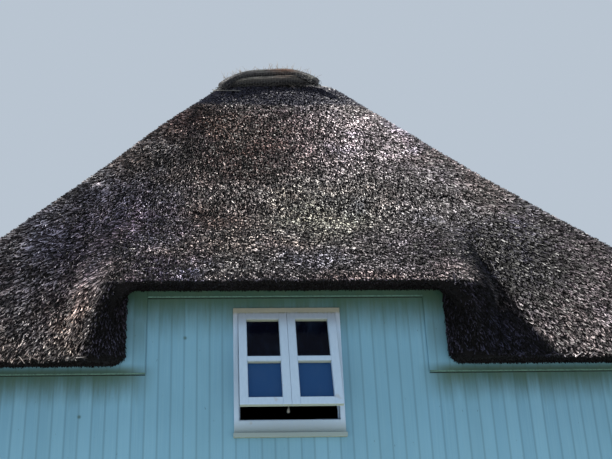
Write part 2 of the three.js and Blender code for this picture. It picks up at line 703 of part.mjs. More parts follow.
// One sheet of glass behind the windows of a wall's storey
function addGlassSheet(name, group, x0, x1, top) {
  const half = WINDOW_WIDTH / 2 + GLASS_LAP;
  const y0 = WALL_THICKNESS + GAP;
  const y1 = y0 + GLASS_THICKNESS;
  const z0 = top - WINDOW_HEIGHT - GLASS_LAP;
  addPiece(`glass_${name}`, box(x0 - half, x1 + half, y0, y1, z0, top + GLASS_LAP), materials.glass, group);
}

function addWindows() {
  addOpenGableWindow();
  const gable = WALL_HALF_LENGTH;
  const long = WALL_HALF_WIDTH;
  const walls = [
    { name: 'front', x: 0, y: -gable, turn: 0, middle: WINDOW_AXIS, offset: GROUND_WINDOW_OFFSET },
    { name: 'back', x: 0, y: gable, turn: Math.PI, middle: -WINDOW_AXIS, offset: GROUND_WINDOW_OFFSET },
    { name: 'left', x: -long, y: 0, turn: -Math.PI / 2, middle: 0, offset: SIDE_WINDOW_OFFSET },
    { name: 'right', x: long, y: 0, turn: Math.PI / 2, middle: 0, offset: SIDE_WINDOW_OFFSET },
  ];
  walls.forEach(({ name, x, y, turn, middle, offset }) => {
    const wall = wallGroup(x, y, turn);
    [middle - offset, middle + offset].forEach((centre, i) => {
      const place = new THREE.Group();
      place.position.x = centre;
      wall.add(place);
      addPiece(`window_${name}_${i + 1}`, shutWindow(GROUND_WINDOW_TOP), materials.whiteWood, place);
    });
    addGlassSheet(`${name}_ground`, wall, middle - offset, middle + offset, GROUND_WINDOW_TOP);
  });
  const backGable = wallGroup(WINDOW_AXIS, WALL_HALF_LENGTH, Math.PI);
  addPiece('window_back_gable', shutWindow(GABLE_WINDOW_TOP), materials.whiteWood, backGable);
  addGlassSheet('back_gable', backGable, 0, 0, GABLE_WINDOW_TOP);
}

function addDoor() {
  const wall = wallGroup(WALL_HALF_WIDTH, 0, Math.PI / 2);
  const half = DOOR_WIDTH / 2;
  const bottom = PLINTH_TOP + GAP;
  const inner = half - DOOR_FRAME_FACE;
  const head = DOOR_TOP - DOOR_FRAME_FACE;
  const frame = [
    [-half, bottom], [-inner, bottom], [-inner, head], [inner, head],
    [inner, bottom], [half, bottom], [half, DOOR_TOP], [-half, DOOR_TOP],
  ];
  addPiece('door_frame', prismAlongY(frame, -FRAME_PROUD, FRAME_DEPTH), materials.whiteWood, wall);
  const face = DOOR_LEAF_SETBACK;
  const leaf = box(-inner + GAP, inner - GAP, face, face + DOOR_LEAF_THICKNESS, bottom, head - GAP);
  addPiece('door_leaf', leaf, materials.boards, wall);
  const knob = new THREE.CylinderGeometry(KNOB_RADIUS, KNOB_RADIUS, KNOB_LENGTH, 4 * ARC_STEPS);
  knob.translate(inner - KNOB_INSET, face - GAP - KNOB_LENGTH / 2, KNOB_HEIGHT);
  addPiece('door_knob', knob, materials.steel, wall);
  const near = -PLINTH_PROUD - GAP;
  const step = box(-STEP_WIDTH / 2, STEP_WIDTH / 2, near - STEP_DEPTH, near, 0, STEP_HEIGHT);
  addPiece('door_step', step, materials.plinth, wall);
}

addPlinthAndFloors();
addWalls();
addThatch();
addRidgeCap();
addRidgeRolls();
addFrontBorders();
addBackBorder();
addSideBorders();
addWindows();
addDoor();

export default house;
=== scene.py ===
"""Looks of the thatched cottage: reed by reed thatch, board walls, windows, door and plinth."""

import math

import bmesh
import bpy
import numpy as np
from mathutils import Matrix, Vector, noise


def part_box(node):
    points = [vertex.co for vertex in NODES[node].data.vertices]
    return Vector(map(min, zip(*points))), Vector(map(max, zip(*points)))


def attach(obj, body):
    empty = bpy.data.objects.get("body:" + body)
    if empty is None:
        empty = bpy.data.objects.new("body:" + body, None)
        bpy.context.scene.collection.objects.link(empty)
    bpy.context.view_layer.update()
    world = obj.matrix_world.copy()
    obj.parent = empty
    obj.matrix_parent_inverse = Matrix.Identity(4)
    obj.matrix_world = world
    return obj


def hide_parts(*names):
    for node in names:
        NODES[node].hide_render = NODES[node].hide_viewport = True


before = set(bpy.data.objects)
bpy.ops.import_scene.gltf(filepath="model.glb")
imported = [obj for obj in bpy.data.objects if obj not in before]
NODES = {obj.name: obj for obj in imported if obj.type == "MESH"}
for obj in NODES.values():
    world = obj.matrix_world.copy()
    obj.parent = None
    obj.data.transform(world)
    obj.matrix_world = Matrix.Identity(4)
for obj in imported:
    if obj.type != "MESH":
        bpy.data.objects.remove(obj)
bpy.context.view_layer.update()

# Walls, in metres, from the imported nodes
FRONT_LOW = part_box("wall_front")[0]
SIDE_LOW, SIDE_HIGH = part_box("wall_right")
WALL_HALF_LENGTH = -FRONT_LOW.y
WALL_HALF_WIDTH = SIDE_HIGH.x
WALL_THICKNESS = SIDE_HIGH.x - SIDE_LOW.x
PLINTH_TOP = FRONT_LOW.z
LOW_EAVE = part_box("border_left")[1].z
HIGH_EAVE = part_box("border_front_top")[1].z
WINDOW_AXIS = sum(v.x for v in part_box("gable_window_frame")) / 2
LIFT_PAST_BORDER = 0.2
LIFT_HALF_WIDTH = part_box("border_front_top")[1].x - WINDOW_AXIS + LIFT_PAST_BORDER

# Roof slopes
EAVE_HALF_WIDTH, EAVE_HALF_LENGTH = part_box("thatch_right")[1].xy
CROWN_HALF_WIDTH = 0.87
CROWN_HALF_LENGTH = 3.06
CROWN_HEIGHT = 8.42
END_RUN = EAVE_HALF_LENGTH - CROWN_HALF_LENGTH
SIDE_RUN = EAVE_HALF_WIDTH - CROWN_HALF_WIDTH
ROOF_RISE = CROWN_HEIGHT - LOW_EAVE

# Boards of the walls and floors, their grooves, and how far below the eaves the walls' stains start
BOARD_COVER, FLOOR_BOARD_COVER = 0.12, 0.16
BOARD_START = WINDOW_AXIS - 0.02
STAIN_START = 0.08
GROOVE_WIDTH, GROOVE_DEPTH, GROOVE_PAST = 0.020, 0.006, 0.02
ROOM_SKIN = 0.002
# Knots that show through the front wall's paint
KNOTS, KNOT_REACH = ((-1.174, -5.75, 3.961), (-2.134, -5.75, 3.222)), 0.026

# Lower edges of the border boards, paler as a painted highlight, and the joints under them, partly a painted
# shadow gap
TRIM_INSET = 0.002
EDGE_HEIGHT, EDGE_PROUD, EDGE_DEPTH = 0.014, 0.006, 0.004
JOINT_HEIGHT, JOINT_PROUD, JOINT_DEPTH, JOINT_GAP = 0.009, 0.003, 0.008, 0.001

# Thatch coat: its longest edge and the rounds of cutting that reach it, how far it is set in, how far the lip
# of the lifted eave hangs, and its waves and swells
COAT_EDGE, COAT_ROUNDS = 0.24, 7
COAT_INSET = 0.018
LIP_DROP = 0.02
WAVE_LONG, WAVE_LONG_DEPTH = 1.2, 0.012
WAVE_SHORT, WAVE_SHORT_DEPTH = 0.33, 0.006
WAVE_SEED = 7
SWELLS = ((Vector((-1.6, -3.6, 7.5)), 1.0, 0.045), (Vector((3.7, -5.4, 4.8)), 1.3, 0.05))

# Reeds in the coat, and how far from a slope's middle they start to fan out
REED_LENGTH = (0.12, 0.2)
REED_RADIUS = (0.0036, 0.0062)
REED_PROUD = (0.004, 0.022)
REED_ROOT = 0.025
REED_REACH = 0.25
REED_SOFFIT_REACH = 0.03
REED_YAW = 0.55
REED_STEEPEST = (0.08, 0.3)
FAN_START = 0.35

# Places that the reeds leave out: the cheeks at the hips, and the crown under the ridge cap
HIP_CHEEK_START = 3.5
CROWN_COVERED = 0.03

# Painted shade beside the lifted eave: how far the shade on its cheeks and the painted shadow in its lee
# reach past it, how dark the lee is, where the lee's edges lie at the eave's height, how they slant, and
# where and how far the right one climbs above it
CHEEK_REACH, LEE_REACH, LEE_SHARE = 0.6, 1.2, 0.85
LEFT_LEE_START, LEFT_LEE_SLANT = -1.9, 0.3
RIGHT_LEE_START, RIGHT_LEE_SLANT = 1.89, 0.567
LEE_CLIMB_START, LEE_CLIMB_END, LEE_CLIMB = 1.64, 1.72, 0.34

# Rolls at the ends of the ridge
CAP_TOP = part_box("ridge_cap")[1].z
CAP_HALF_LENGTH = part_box("ridge_cap")[1].y
CAP_MIDDLE, CAP_ROUNDNESS = -0.08, 2.4
ROLL_AXIS = -0.135
ROLL_RADIUS = 0.07
ROLL_RISE = 0.02
ROLL_TILT = 0.06
UPPER_ROLL_HALF_WIDTH, UPPER_ROLL_FALL = 0.672, 0.3
LOWER_ROLL_HALF_WIDTH, LOWER_ROLL_FALL, LOWER_ROLL_STEP = 0.54, 0.06, 0.03
ROLL_WOBBLE = 0.007
BUNDLE_CORE, BUNDLE_STALKS, STALK_RADIUS = 0.052, 44, (0.0055, 0.0085)

# Wires and stalks on the rolls, and the sticks beside them
NET_RING_SIDES, NET_RING_WIRE = 12, 0.0016
NET_LINES, NET_TURNS, NET_LINE_WIRE = 8, 9.0, 0.0012
WISP_LENGTH, WISP_RADII = (0.03, 0.11), (0.0022, 0.002, 0.0016, 0.0008)
LOOPS, LOOP_RADIUS, LOOP_WIRE = 5, (0.028, 0.05), 0.0018
STICK_OUT, STICK_HEIGHT, STICK_SLOPE, STICK_RADIUS = 3.19, 8.262, 0.004, 0.006
STICK_ALONG = (-0.79, -0.6, -0.4)

# Window joinery
WINDOW_HALF_WIDTH = 0.515
FRAME_FACE = 0.046
FRAME_PROUD = 0.018
FRAME_BOTTOM_RAIL = 0.158
SASH_STILE = 0.075
SASH_BAR = 0.052
BEAD = 0.004
BAR_DROP = 0.018
SASH_THICKNESS = 0.042
SASH_TILT = math.radians(18)
SASH_FOOT_GAP = 0.034
BAR_MIDDLE = 0.54
STOP_WIDTH, STOP_NEAR, STOP_FAR = 0.012, 0.06, 0.10
# Latch at the foot of the open sashes: its line from the sashes' inner face and foot, and its thickness
LATCH_PROUD = 0.008
LATCH_LINE = ((-0.03, 0, 0.02), (-0.03, 0.004, -0.012), (-0.032, 0.004, -0.03), (-0.034, 0.002, -0.052),
              (-0.035, 0, -0.06))
LATCH_RADII = (0.006, 0.007, 0.014, 0.015, 0.004)
# Shut windows: how much the sashes clear their frame and each other, and how they, their beads, their lip and
# their panes lie before and behind its face
SHUT_CLEARANCE, MEETING_CLEARANCE = 0.004, 0.002
SHUT_SASH_PROUD, SHUT_BEAD, SHUT_BEAD_PROUD, SHUT_BEAD_DEPTH = 0.008, 0.012, 0.003, 0.03
LIP_HALF_WIDTH, LIP_PROUD, LIP_INSET = 0.022, 0.018, 0.01
PANE_INSET, PANE_NEAR, PANE_FAR = 0.06, 0.034, 0.039
SOFT_EDGE = 0.003

# Fieldstones of the plinth, in two courses, and the ironwork of the door
STONE_WIDTH, STONE_LEAST, STONE_JOINT, STONE_END = (0.18, 0.42), 0.16, 0.014, 0.008
STONE_PROUD, STONE_BACK, STONE_ROUGHNESS = 0.018, 0.03, 0.004
STRAP_LENGTH, STRAP_HEIGHT, STRAP_FROM_END, STRAP_PROUD = 0.42, 0.02, 0.28, 0.006
PIN_LENGTH, PIN_HEIGHT, PIN_PROUD = 0.03, 0.045, 0.018
PLATE_HALF_WIDTH, PLATE_BELOW, PLATE_ABOVE, PLATE_PROUD = 0.028, 0.13, 0.05, 0.005

# Studio: floor, sky and sun
FLOOR_REACH, FLOOR_DROP = 60, 0.001
SKY_COLOUR, SKY_STRENGTH = (0.76, 0.87, 1.0, 1.0), 0.64
SUN_COLOUR, SUN_ENERGY, SUN_ANGLE = (1.0, 0.97, 0.92), 9.0, math.radians(4)
SUN_FROM = Vector((-0.66, 0.06, 0.75))

# The photograph's camera: where it stands, how it is turned, and its framing
CAMERA_PLACE = (-0.86, -14.07, 1.6)
PITCH, ROLL, YAW = (math.radians(a) for a in (22.67, -1.12, 2.52))
SENSOR_WIDTH, IMAGE_WIDTH = 36, 612
FOCAL_PIXELS = 900.0
PRINCIPAL_X = 254.3


def colour(red, green, blue):
    """Linear colour from a colour as it looks on a screen, 0 to 255."""
    return tuple((c / 255) ** 2.2 for c in (red, green, blue))


def tones(*stops):
    """Stops of a ramp, each from a place between 0 and 1 and a colour as it looks on a screen."""
    return tuple((place, colour(*shade)) for place, *shade in stops)


class Finish:
    """A node material in the making. Any value may be a number, a colour or another node's output."""

    def __init__(self, name):
        self.material = bpy.data.materials.new(name)
        self.material.use_nodes = True
        tree = self.material.node_tree
        tree.nodes.clear()
        self.tree = tree
        self.shader = tree.nodes.new("ShaderNodeBsdfPrincipled")
        output = tree.nodes.new("ShaderNodeOutputMaterial")
        tree.links.new(self.shader.outputs["BSDF"], output.inputs["Surface"])
        self.place = tree.nodes.new("ShaderNodeTexCoord").outputs["Object"]

    def put(self, socket, value):
        if isinstance(value, bpy.types.NodeSocket):
            self.tree.links.new(value, socket)
        elif isinstance(value, tuple) and len(value) == 3 and socket.type == "RGBA":
            socket.default_value = (*value, 1.0)
        else:
            socket.default_value = value

    def set(self, **values):
        for name, value in values.items():
            self.put(self.shader.inputs[name.replace("_", " ")], value)

    def node(self, kind, values, **settings):
        made = self.tree.nodes.new("ShaderNode" + kind)
        for name, value in settings.items():
            setattr(made, name, value)
        for key, value in values.items():
            self.put(made.inputs[key], value)
        return made

    def axis(self, name, place=None):
        return self.node("SeparateXYZ", {0: place or self.place}).outputs[name]

    def calc(self, operation, a, b=0.0, c=0.0):
        return self.node("Math", {0: a, 1: b, 2: c}, operation=operation).outputs[0]

    def times(self, a, b):
        return self.calc("MULTIPLY", a, b)

    def less(self, a, b):
        return self.calc("SUBTRACT", a, b)

    def away(self, value):
        return self.calc("ABSOLUTE", value)

    def moved(self, operation, values):
        return self.node("VectorMath", values, operation=operation).outputs[0]

    def own(self):
        """Random number of each loose part of a mesh."""
        return self.node("NewGeometry", {}).outputs["Random Per Island"]

    def shelter_shade(self):
        return self.node("Attribute", {}, attribute_name="shelter_shade").outputs["Fac"]

    def board(self, place):
        """Random number of each board, and how near its edge a place is as a share of the board."""
        number = self.calc("FLOOR", place)
        own = self.node("TexWhiteNoise", {"W": number}, noise_dimensions="1D").outputs["Value"]
        share = self.less(place, number)
        return own, self.calc("MINIMUM", share, self.less(1.0, share))

    def stretched(self, x, y, z, shift=0.0):
        values = {"Vector": self.place, "Scale": (x, y, z), "Location": (shift, shift * 1.7, shift * 0.6)}
        return self.node("Mapping", values).outputs[0]

    def noise(self, scale, detail=3.0, place=None, rough=0.55):
        values = {"Vector": place or self.place, "Scale": scale, "Detail": detail, "Roughness": rough}
        return self.node("TexNoise", values).outputs["Fac"]

    def step(self, value, start, end, low=0.0, high=1.0):
        values = {0: value, 1: start, 2: end, 3: low, 4: high}
        return self.node("MapRange", values, interpolation_type="SMOOTHSTEP").outputs[0]

    def mix(self, share, a, b, blend="MIX"):
        made = self.node("Mix", {}, data_type="RGBA", blend_type=blend)
        self.put(made.inputs[0], share)
        self.put(made.inputs[6], a)
        self.put(made.inputs[7], b)
        return made.outputs[2]

    def scaled(self, tone, shade):
        return self.mix(1.0, tone, shade, "MULTIPLY")

    def tint(self, share, tone, shade):
        """Multiplies a tone by a shade, by a share from 0 to 1."""
        return self.mix(share, tone, self.scaled(tone, shade))

    def over(self, tone, shade, value, *limits):
        """Lays a shade over a tone by how far a value lies between two limits."""
        return self.mix(self.step(value, *limits), tone, shade)

    def near(self, place, middle, reach):
        """Share that falls from 1 at a place to 0 at a distance from it."""
        away = self.node("VectorMath", {0: place, 1: middle}, operation="DISTANCE").outputs["Value"]
        return self.step(away, 0.15 * reach, reach, 1.0, 0.0)

    def ramp(self, value, *stops):
        made = self.node("ValToRGB", {0: value})
        points = made.color_ramp.elements
        while len(points) < len(stops):
            points.new(0.5)
        for point, (position, shade) in zip(points, stops):
            point.position = position
            point.color = (*shade, 1.0)
        return made.outputs[0]

    def bump(self, height, depth):
        made = self.node("Bump", {"Height": height, "Distance": depth})
        self.put(self.shader.inputs["Normal"], made.outputs[0])


# The crest above the left ear, browner and paler, as a row of patches between two places
CREST_TOP, CREST_FOOT, CREST_STEPS = (-1.68, -4.62, 6.05), (-2.2, -5.92, 4.1), 8
CREST_REACH, CREST_TINT = 0.3, (1.4, 1.31, 1.22)
# Patches of paler and darker thatch: middle, reach and tint; the dark ones right of the lifted eave are
# painted shadow and shade
PATCHES = (
    ((0.75, -3.8, 7.2), 1.35, (2.05, 1.9, 2.0)), ((0.3, -4.9, 5.6), 1.0, (1.16, 1.22, 1.08)),
    ((-0.7, -4.2, 6.65), 1.35, (0.36, 0.27, 0.26)), ((-0.85, -4.9, 5.5), 0.75, (0.74, 0.62, 0.59)),
    ((-1.2, -3.7, 7.5), 0.9, (0.69, 0.52, 0.46)), ((-0.15, -3.6, 7.6), 0.95, (0.42, 0.36, 0.39)),
    ((0.0, -4.1, 6.8), 0.75, (0.56, 0.49, 0.49)), ((-1.75, -4.7, 5.9), 0.9, (0.76, 0.78, 0.98)),
    ((-1.9, -5.2, 5.4), 1.3, (0.64, 0.61, 0.72)), ((-2.45, -5.35, 4.85), 1.5, (0.6, 0.59, 0.68)),
    ((-2.25, -6.0, 3.85), 0.3, (1.4, 1.3, 1.2)), ((-1.4, -5.9, 4.6), 0.65, (0.5, 0.5, 0.68)),
    ((0.0, -5.95, 4.6), 0.95, (0.72, 0.72, 0.78)), ((1.1, -5.65, 4.75), 1.1, (0.55, 0.53, 0.6)),
    ((1.3, -5.2, 5.0), 0.9, (0.8, 0.78, 0.82)), ((2.1, -5.45, 4.8), 1.05, (0.2, 0.2, 0.24)),
    ((2.2, -5.2, 5.2), 1.45, (0.21, 0.21, 0.28)), ((2.0, -4.2, 6.6), 1.5, (0.54, 0.52, 0.59)),
    ((3.0, -5.5, 4.6), 2.2, (0.33, 0.32, 0.38)),
)


def thatch_finish(name, shades, overall=(1.0, 1.0, 1.0)):
    """Weathered reed, paler from stalk to stalk, with a shine along the stalks and none where sheltered,
    where painted shade and shadow also darken it.
    """
    reed = Finish(name)
    stalk = reed.own()
    tone = reed.scaled(reed.ramp(stalk, *shades), overall)
    # Ragged edges of the patches, by places that drift
    drift = reed.node("TexNoise", {"Vector": reed.place, "Scale": 1.6, "Detail": 4.0, "Roughness": 0.6})
    drift = reed.moved("SUBTRACT", {0: drift.outputs["Color"], 1: (0.5, 0.5, 0.5)})
    place = reed.moved("ADD", {0: reed.place, 1: reed.moved("SCALE", {0: drift, "Scale": 1.1})})
    # The dark patches right of the lifted eave are painted shadow and shade
    for middle, reach, shade in PATCHES:
        tone = reed.tint(reed.near(place, middle, reach), tone, shade)
    for middle in np.linspace(CREST_TOP, CREST_FOOT, CREST_STEPS):
        tone = reed.tint(reed.near(place, tuple(middle), CREST_REACH), tone, CREST_TINT)
    brown = reed.step(reed.noise(0.9, 3.0, reed.stretched(1, 1, 1, 3.1)), 0.46, 0.62, 0.0, 0.7)
    tone = reed.tint(brown, tone, (1.1, 0.95, 0.86))
    blue = reed.step(reed.noise(1.1, 3.0, reed.stretched(1, 1, 1, 7.7)), 0.5, 0.66, 0.0, 0.7)
    tone = reed.tint(blue, tone, (0.9, 0.96, 1.12))
    patch = reed.noise(3.1, 5.0, reed.stretched(1, 1, 0.55))
    tone = reed.scaled(tone, reed.step(patch, 0.3, 0.7, 0.62, 1.3))
    clump = reed.noise(7.0, 3.0, reed.stretched(1, 1, 0.6, 4.4), 0.6)
    tone = reed.scaled(tone, reed.step(clump, 0.32, 0.68, 0.6, 1.45))
    # Painted shadow under the rolls, at the ends of the ridge only
    height = reed.calc("MULTIPLY_ADD", patch, 0.12, reed.axis("Z"))
    outward = reed.away(reed.axis("Y"))
    gable_end = reed.step(outward, CROWN_HALF_LENGTH - 0.1, CROWN_HALF_LENGTH + 0.05)
    shadow = reed.times(gable_end, reed.step(height, *ROLL_SHADOW, 0.0, 0.9))
    tone = reed.mix(shadow, tone, ROLL_SHADOW_TONE)
    # Paler butts along the lip of the lifted eave, partly a painted highlight where the sun catches it
    beside = reed.away(reed.less(reed.axis("X"), WINDOW_AXIS))
    lip = reed.times(reed.step(beside, LIFT_HALF_WIDTH + 0.1, LIFT_HALF_WIDTH - 0.1),
                     reed.step(outward, EAVE_HALF_LENGTH - 0.16, EAVE_HALF_LENGTH - 0.08))
    lip = reed.times(lip, reed.step(reed.axis("Z"), HIGH_EAVE + 0.14, HIGH_EAVE + 0.04))
    tone = reed.tint(lip, tone, LIP_BUTTS_AND_HIGHLIGHT)
    # Painted shade on undersides and on the cheeks beside the lifted eave, and painted shadow in its lee
    shelter_shade = reed.shelter_shade()
    tone = reed.tint(reed.step(shelter_shade, 0.0, LEE_SHARE), tone, LEE_SHADE)
    tone = reed.tint(reed.step(shelter_shade, LEE_SHARE, 1.0), tone, SOFFIT_SHADE)
    shine = reed.step(reed.calc("FRACT", reed.times(stalk, 7.31)), 0.0, 1.0, *REED_SHINE)
    reed.set(Base_Color=tone, Roughness=reed.calc("MAXIMUM", shine, shelter_shade), Specular_IOR_Level=0.3)
    return reed.material


def bundle_finish(name, shades):
    """Reed bound in bundles, each stalk with its own tone, mossy in places, with a rusty patch on top and
    painted shade on its lower side.
    """
    reed = Finish(name)
    tone = reed.ramp(reed.own(), *shades)
    moss = reed.step(reed.noise(3.2, 5.0), 0.48, 0.66, 0.0, 0.7)
    tone = reed.tint(moss, tone, (0.97, 1.05, 0.88))
    tone = reed.tint(reed.near(reed.place, RUST_PLACE, 0.34), tone, RUST_TINT)
    # Painted shade on the lower side of each roll
    tone = reed.tint(reed.shelter_shade(), tone, BUNDLE_SHADE)
    grain = reed.noise(24.0, 4.0, reed.stretched(1, 3, 3), 0.65)
    tone = reed.scaled(tone, reed.step(grain, 0.3, 0.7, 0.55, 1.25))
    reed.set(Base_Color=tone, Roughness=reed.step(grain, 0.3, 0.7, 0.55, 0.8), Specular_IOR_Level=0.3)
    reed.bump(grain, 0.004)
    return reed.material


def boards_finish(name, along, start=BOARD_START, stained=True):
    """Painted boards with a tone of their own each, dirty grooves and green stains under the eaves."""
    boards = Finish(name)
    across = boards.axis(along)
    height = boards.axis("Z")
    own, edge = boards.board(boards.calc("DIVIDE", boards.less(across, start), BOARD_COVER))
    paint = boards.mix(own, colour(103, 153, 179), colour(111, 162, 188))
    fine = (40, 3, 0.8) if along == "X" else (3, 40, 0.8)
    streak = boards.noise(2.0, 5.0, boards.stretched(*fine), 0.7)
    paint = boards.over(paint, colour(124, 171, 192), streak, 0.4, 0.75, 0.0, 0.45)
    cloud = boards.noise(1.1, 4.0, boards.stretched(1, 1, 0.6, 5.0))
    paint = boards.over(paint, colour(94, 141, 161), cloud, 0.4, 0.7, 0.0, 0.35)
    paint = boards.over(paint, colour(58, 92, 104), edge, 0.03, 0.12, 0.3, 0.0)
    if stained:
        paint = boards.tint(boards.step(height, 3.3, 2.7), paint, (1.13, 1.1, 1.08))
        ragged = boards.noise(3.0, 5.0, boards.stretched(9, 9, 0.8, 2.0), 0.65)
        loose = boards.times(boards.less(ragged, 0.5), 0.2)
        loose = boards.calc("MULTIPLY_ADD", boards.less(own, 0.6), 0.05, loose)
        depth = boards.less(LOW_EAVE - STAIN_START, height)
        stain = boards.step(boards.calc("ADD", depth, loose), -0.02, 0.32, 0.9, 0.0)
        if along == "X":
            aside = boards.away(boards.less(across, WINDOW_AXIS))
            outside = boards.step(aside, LIFT_HALF_WIDTH - 0.35, LIFT_HALF_WIDTH + 0.02)
            stain = boards.times(stain, boards.times(outside, boards.step(depth, -0.12, -0.02)))
            high = boards.calc("ADD", boards.less(HIGH_EAVE - STAIN_START, height), loose)
            inside = boards.step(aside, LIFT_HALF_WIDTH, LIFT_HALF_WIDTH + 0.1, 1.0, 0.0)
            trimmed = boards.step(aside, LIFT_HALF_WIDTH - 0.24, LIFT_HALF_WIDTH - 0.16)
            trimmed = boards.times(trimmed, boards.step(high, 0.2, 0.75, 0.5, 0.0))
            high = boards.calc("MAXIMUM", boards.step(high, -0.04, 0.46, 0.96, 0.0), trimmed)
            stain = boards.calc("MAXIMUM", stain, boards.times(high, inside))
        moss = boards.mix(boards.noise(7.0, 3.0), colour(42, 78, 62), colour(66, 86, 64))
        paint = boards.mix(stain, paint, moss)
        splash = boards.calc("MULTIPLY_ADD", ragged, 0.6, height)
        paint = boards.over(paint, colour(92, 104, 88), splash, 0.55, 1.15, 0.5, 0.0)
    for knot in KNOTS:
        paint = boards.mix(boards.near(boards.place, knot, KNOT_REACH), paint, colour(66, 100, 104))
    speck = boards.noise(38.0, 2.0, boards.stretched(1, 1, 0.5))
    paint = boards.over(paint, colour(60, 82, 78), speck, 0.72, 0.8, 0.0, 0.5)
    boards.set(Base_Color=paint, Roughness=boards.step(streak, 0.3, 0.8, 0.42, 0.62))
    boards.bump(streak, 0.0012)
    return boards.material


def white_finish(name, top, height):
    """White paint, dirty under the head of the window and along its sill, with painted shade towards its top
    and painted light on its undersides.
    """
    white = Finish(name)
    down = white.calc("DIVIDE", white.less(top, white.axis("Z")), height)
    streak = white.noise(5.0, 5.0, white.stretched(9, 9, 1.1), 0.6)
    paint = white.mix(streak, colour(163, 190, 215), colour(187, 211, 234))
    # Painted shade towards the top, as under the eave
    paint = white.tint(white.step(down, 0.05, 0.2, 1.0, 0.0), paint, (0.7, 0.62, 0.58))
    ragged = white.calc("MULTIPLY_ADD", white.less(streak, 0.5), 0.03, down)
    dirt = white.mix(white.noise(11.0, 3.0), colour(110, 112, 90), colour(142, 138, 114))
    paint = white.over(paint, dirt, ragged, 0.03, 0.06, 0.85, 0.0)
    paint = white.over(paint, colour(124, 140, 130), ragged, 0.84, 0.99, 0.0, 0.8)
    rust = white.noise(6.0, 3.0, white.stretched(1, 1, 1, 4.0))
    paint = white.over(paint, colour(150, 128, 96), rust, 0.68, 0.76, 0.0, 0.3)
    # Paler yellowish tone on faces that look down: painted light on the undersides
    up = white.axis("Z", white.node("NewGeometry", {}).outputs["Normal"])
    paint = white.over(paint, colour(150, 158, 128), up, -0.6, -0.9, 0.0, 0.8)
    white.set(Base_Color=paint, Roughness=white.step(streak, 0.3, 0.7, 0.3, 0.5))
    white.bump(streak, 0.0008)
    return white.material


def glass_finish(name, tint_low, tint_high, low, high):
    """Window glass over a dark room, painted dark as the room's shade, with a painted blue reflection towards
    the foot of each pane.
    """
    glass = Finish(name)
    film = glass.noise(9.0, 4.0, glass.stretched(1, 1, 0.4))
    # Painted reflection towards the foot of each pane, painted shade of the room above it
    tint = glass.over(tint_low, tint_high, glass.axis("Z"), low, high)
    tint = glass.over(tint, colour(70, 90, 120), film, 0.45, 0.8, 0.0, 0.15)
    smooth = glass.step(film, 0.3, 0.8, 0.02, 0.09)
    glass.set(Base_Color=tint, Roughness=smooth, Specular_IOR_Level=0.06, Alpha=0.95)
    return glass.material


def stone_finish(name, shades, grain):
    """Rough stone, each piece with its own shade."""
    stone = Finish(name)
    tone = stone.ramp(stone.own(), *shades)
    mottle = stone.noise(grain, 6.0, None, 0.7)
    tone = stone.over(tone, colour(84, 78, 70), mottle, 0.35, 0.7, 0.0, 0.5)
    lichen = stone.noise(5.0, 4.0, stone.stretched(1, 1, 1, 2.5))
    tone = stone.over(tone, colour(104, 112, 84), lichen, 0.62, 0.7, 0.0, 0.5)
    stone.set(Base_Color=tone, Roughness=0.9)
    stone.bump(mottle, 0.006)
    return stone.material


def floor_finish(name):
    """Scrubbed floor boards running along the house."""
    floor = Finish(name)
    own, edge = floor.board(floor.calc("DIVIDE", floor.axis("X"), FLOOR_BOARD_COVER))
    grain = floor.noise(3.0, 6.0, floor.stretched(26, 1.4, 26), 0.65)
    wood = floor.mix(own, colour(128, 98, 66), colour(160, 126, 88))
    wood = floor.over(wood, colour(92, 66, 42), grain, 0.4, 0.7, 0.0, 0.6)
    wood = floor.over(wood, colour(24, 18, 14), edge, 0.01, 0.03, 0.9, 0.0)
    floor.set(Base_Color=wood, Roughness=floor.step(grain, 0.3, 0.8, 0.5, 0.7))
    floor.bump(grain, 0.001)
    return floor.material


def metal_finish(name, shade, metallic, roughness):
    """Metal with worn patches."""
    metal = Finish(name)
    wear = metal.noise(60.0, 4.0)
    tone = metal.over(shade, tuple(0.6 * c for c in shade), wear, 0.4, 0.7)
    dull = metal.step(wear, 0.3, 0.7, roughness, roughness + 0.2)
    metal.set(Base_Color=tone, Metallic=metallic, Roughness=dull)
    metal.bump(wear, 0.0004)
    return metal.material


def room_finish(name):
    """Limewash on the inner faces of the walls."""
    wash = Finish(name)
    mottle = wash.noise(3.0, 6.0)
    wash.set(Base_Color=wash.mix(mottle, colour(150, 146, 134), colour(180, 176, 164)), Roughness=0.9)
    wash.bump(wash.noise(30.0, 3.0), 0.002)
    return wash.material


WEATHERED = tones((0.0, 16, 14, 16), (0.38, 50, 46, 48), (0.68, 112, 106, 107), (0.9, 194, 188, 186),
                  (1.0, 240, 234, 230))
BASE_TONE = tones((0.0, 92, 86, 84), (1.0, 92, 86, 84))
SIDE_TINT = (0.6, 0.58, 0.62)
LEE_SHADE = (0.1, 0.105, 0.17)
SOFFIT_SHADE = (0.16, 0.16, 0.14)
REED_SHINE = (0.42, 0.75)
# Paler butts and painted highlight along the lifted eave's lip
LIP_BUTTS_AND_HIGHLIGHT = (1.7, 1.62, 1.6)
ROLL_SHADOW, ROLL_SHADOW_TONE = (7.93, 8.03), colour(52, 53, 68)
RUST_PLACE, RUST_TINT = (0.1, -3.05, 8.78), (2.2, 1.3, 0.9)
BUNDLE_SHADE = (0.1, 0.11, 0.15)
RIDGE_REED = tones((0.0, 34, 35, 34), (0.5, 70, 72, 68), (0.85, 92, 94, 88), (1.0, 124, 122, 108))
UPPER_ROLL_REED = tones((0.0, 50, 49, 50), (0.5, 104, 102, 104), (0.85, 132, 130, 128), (1.0, 166, 160, 150))
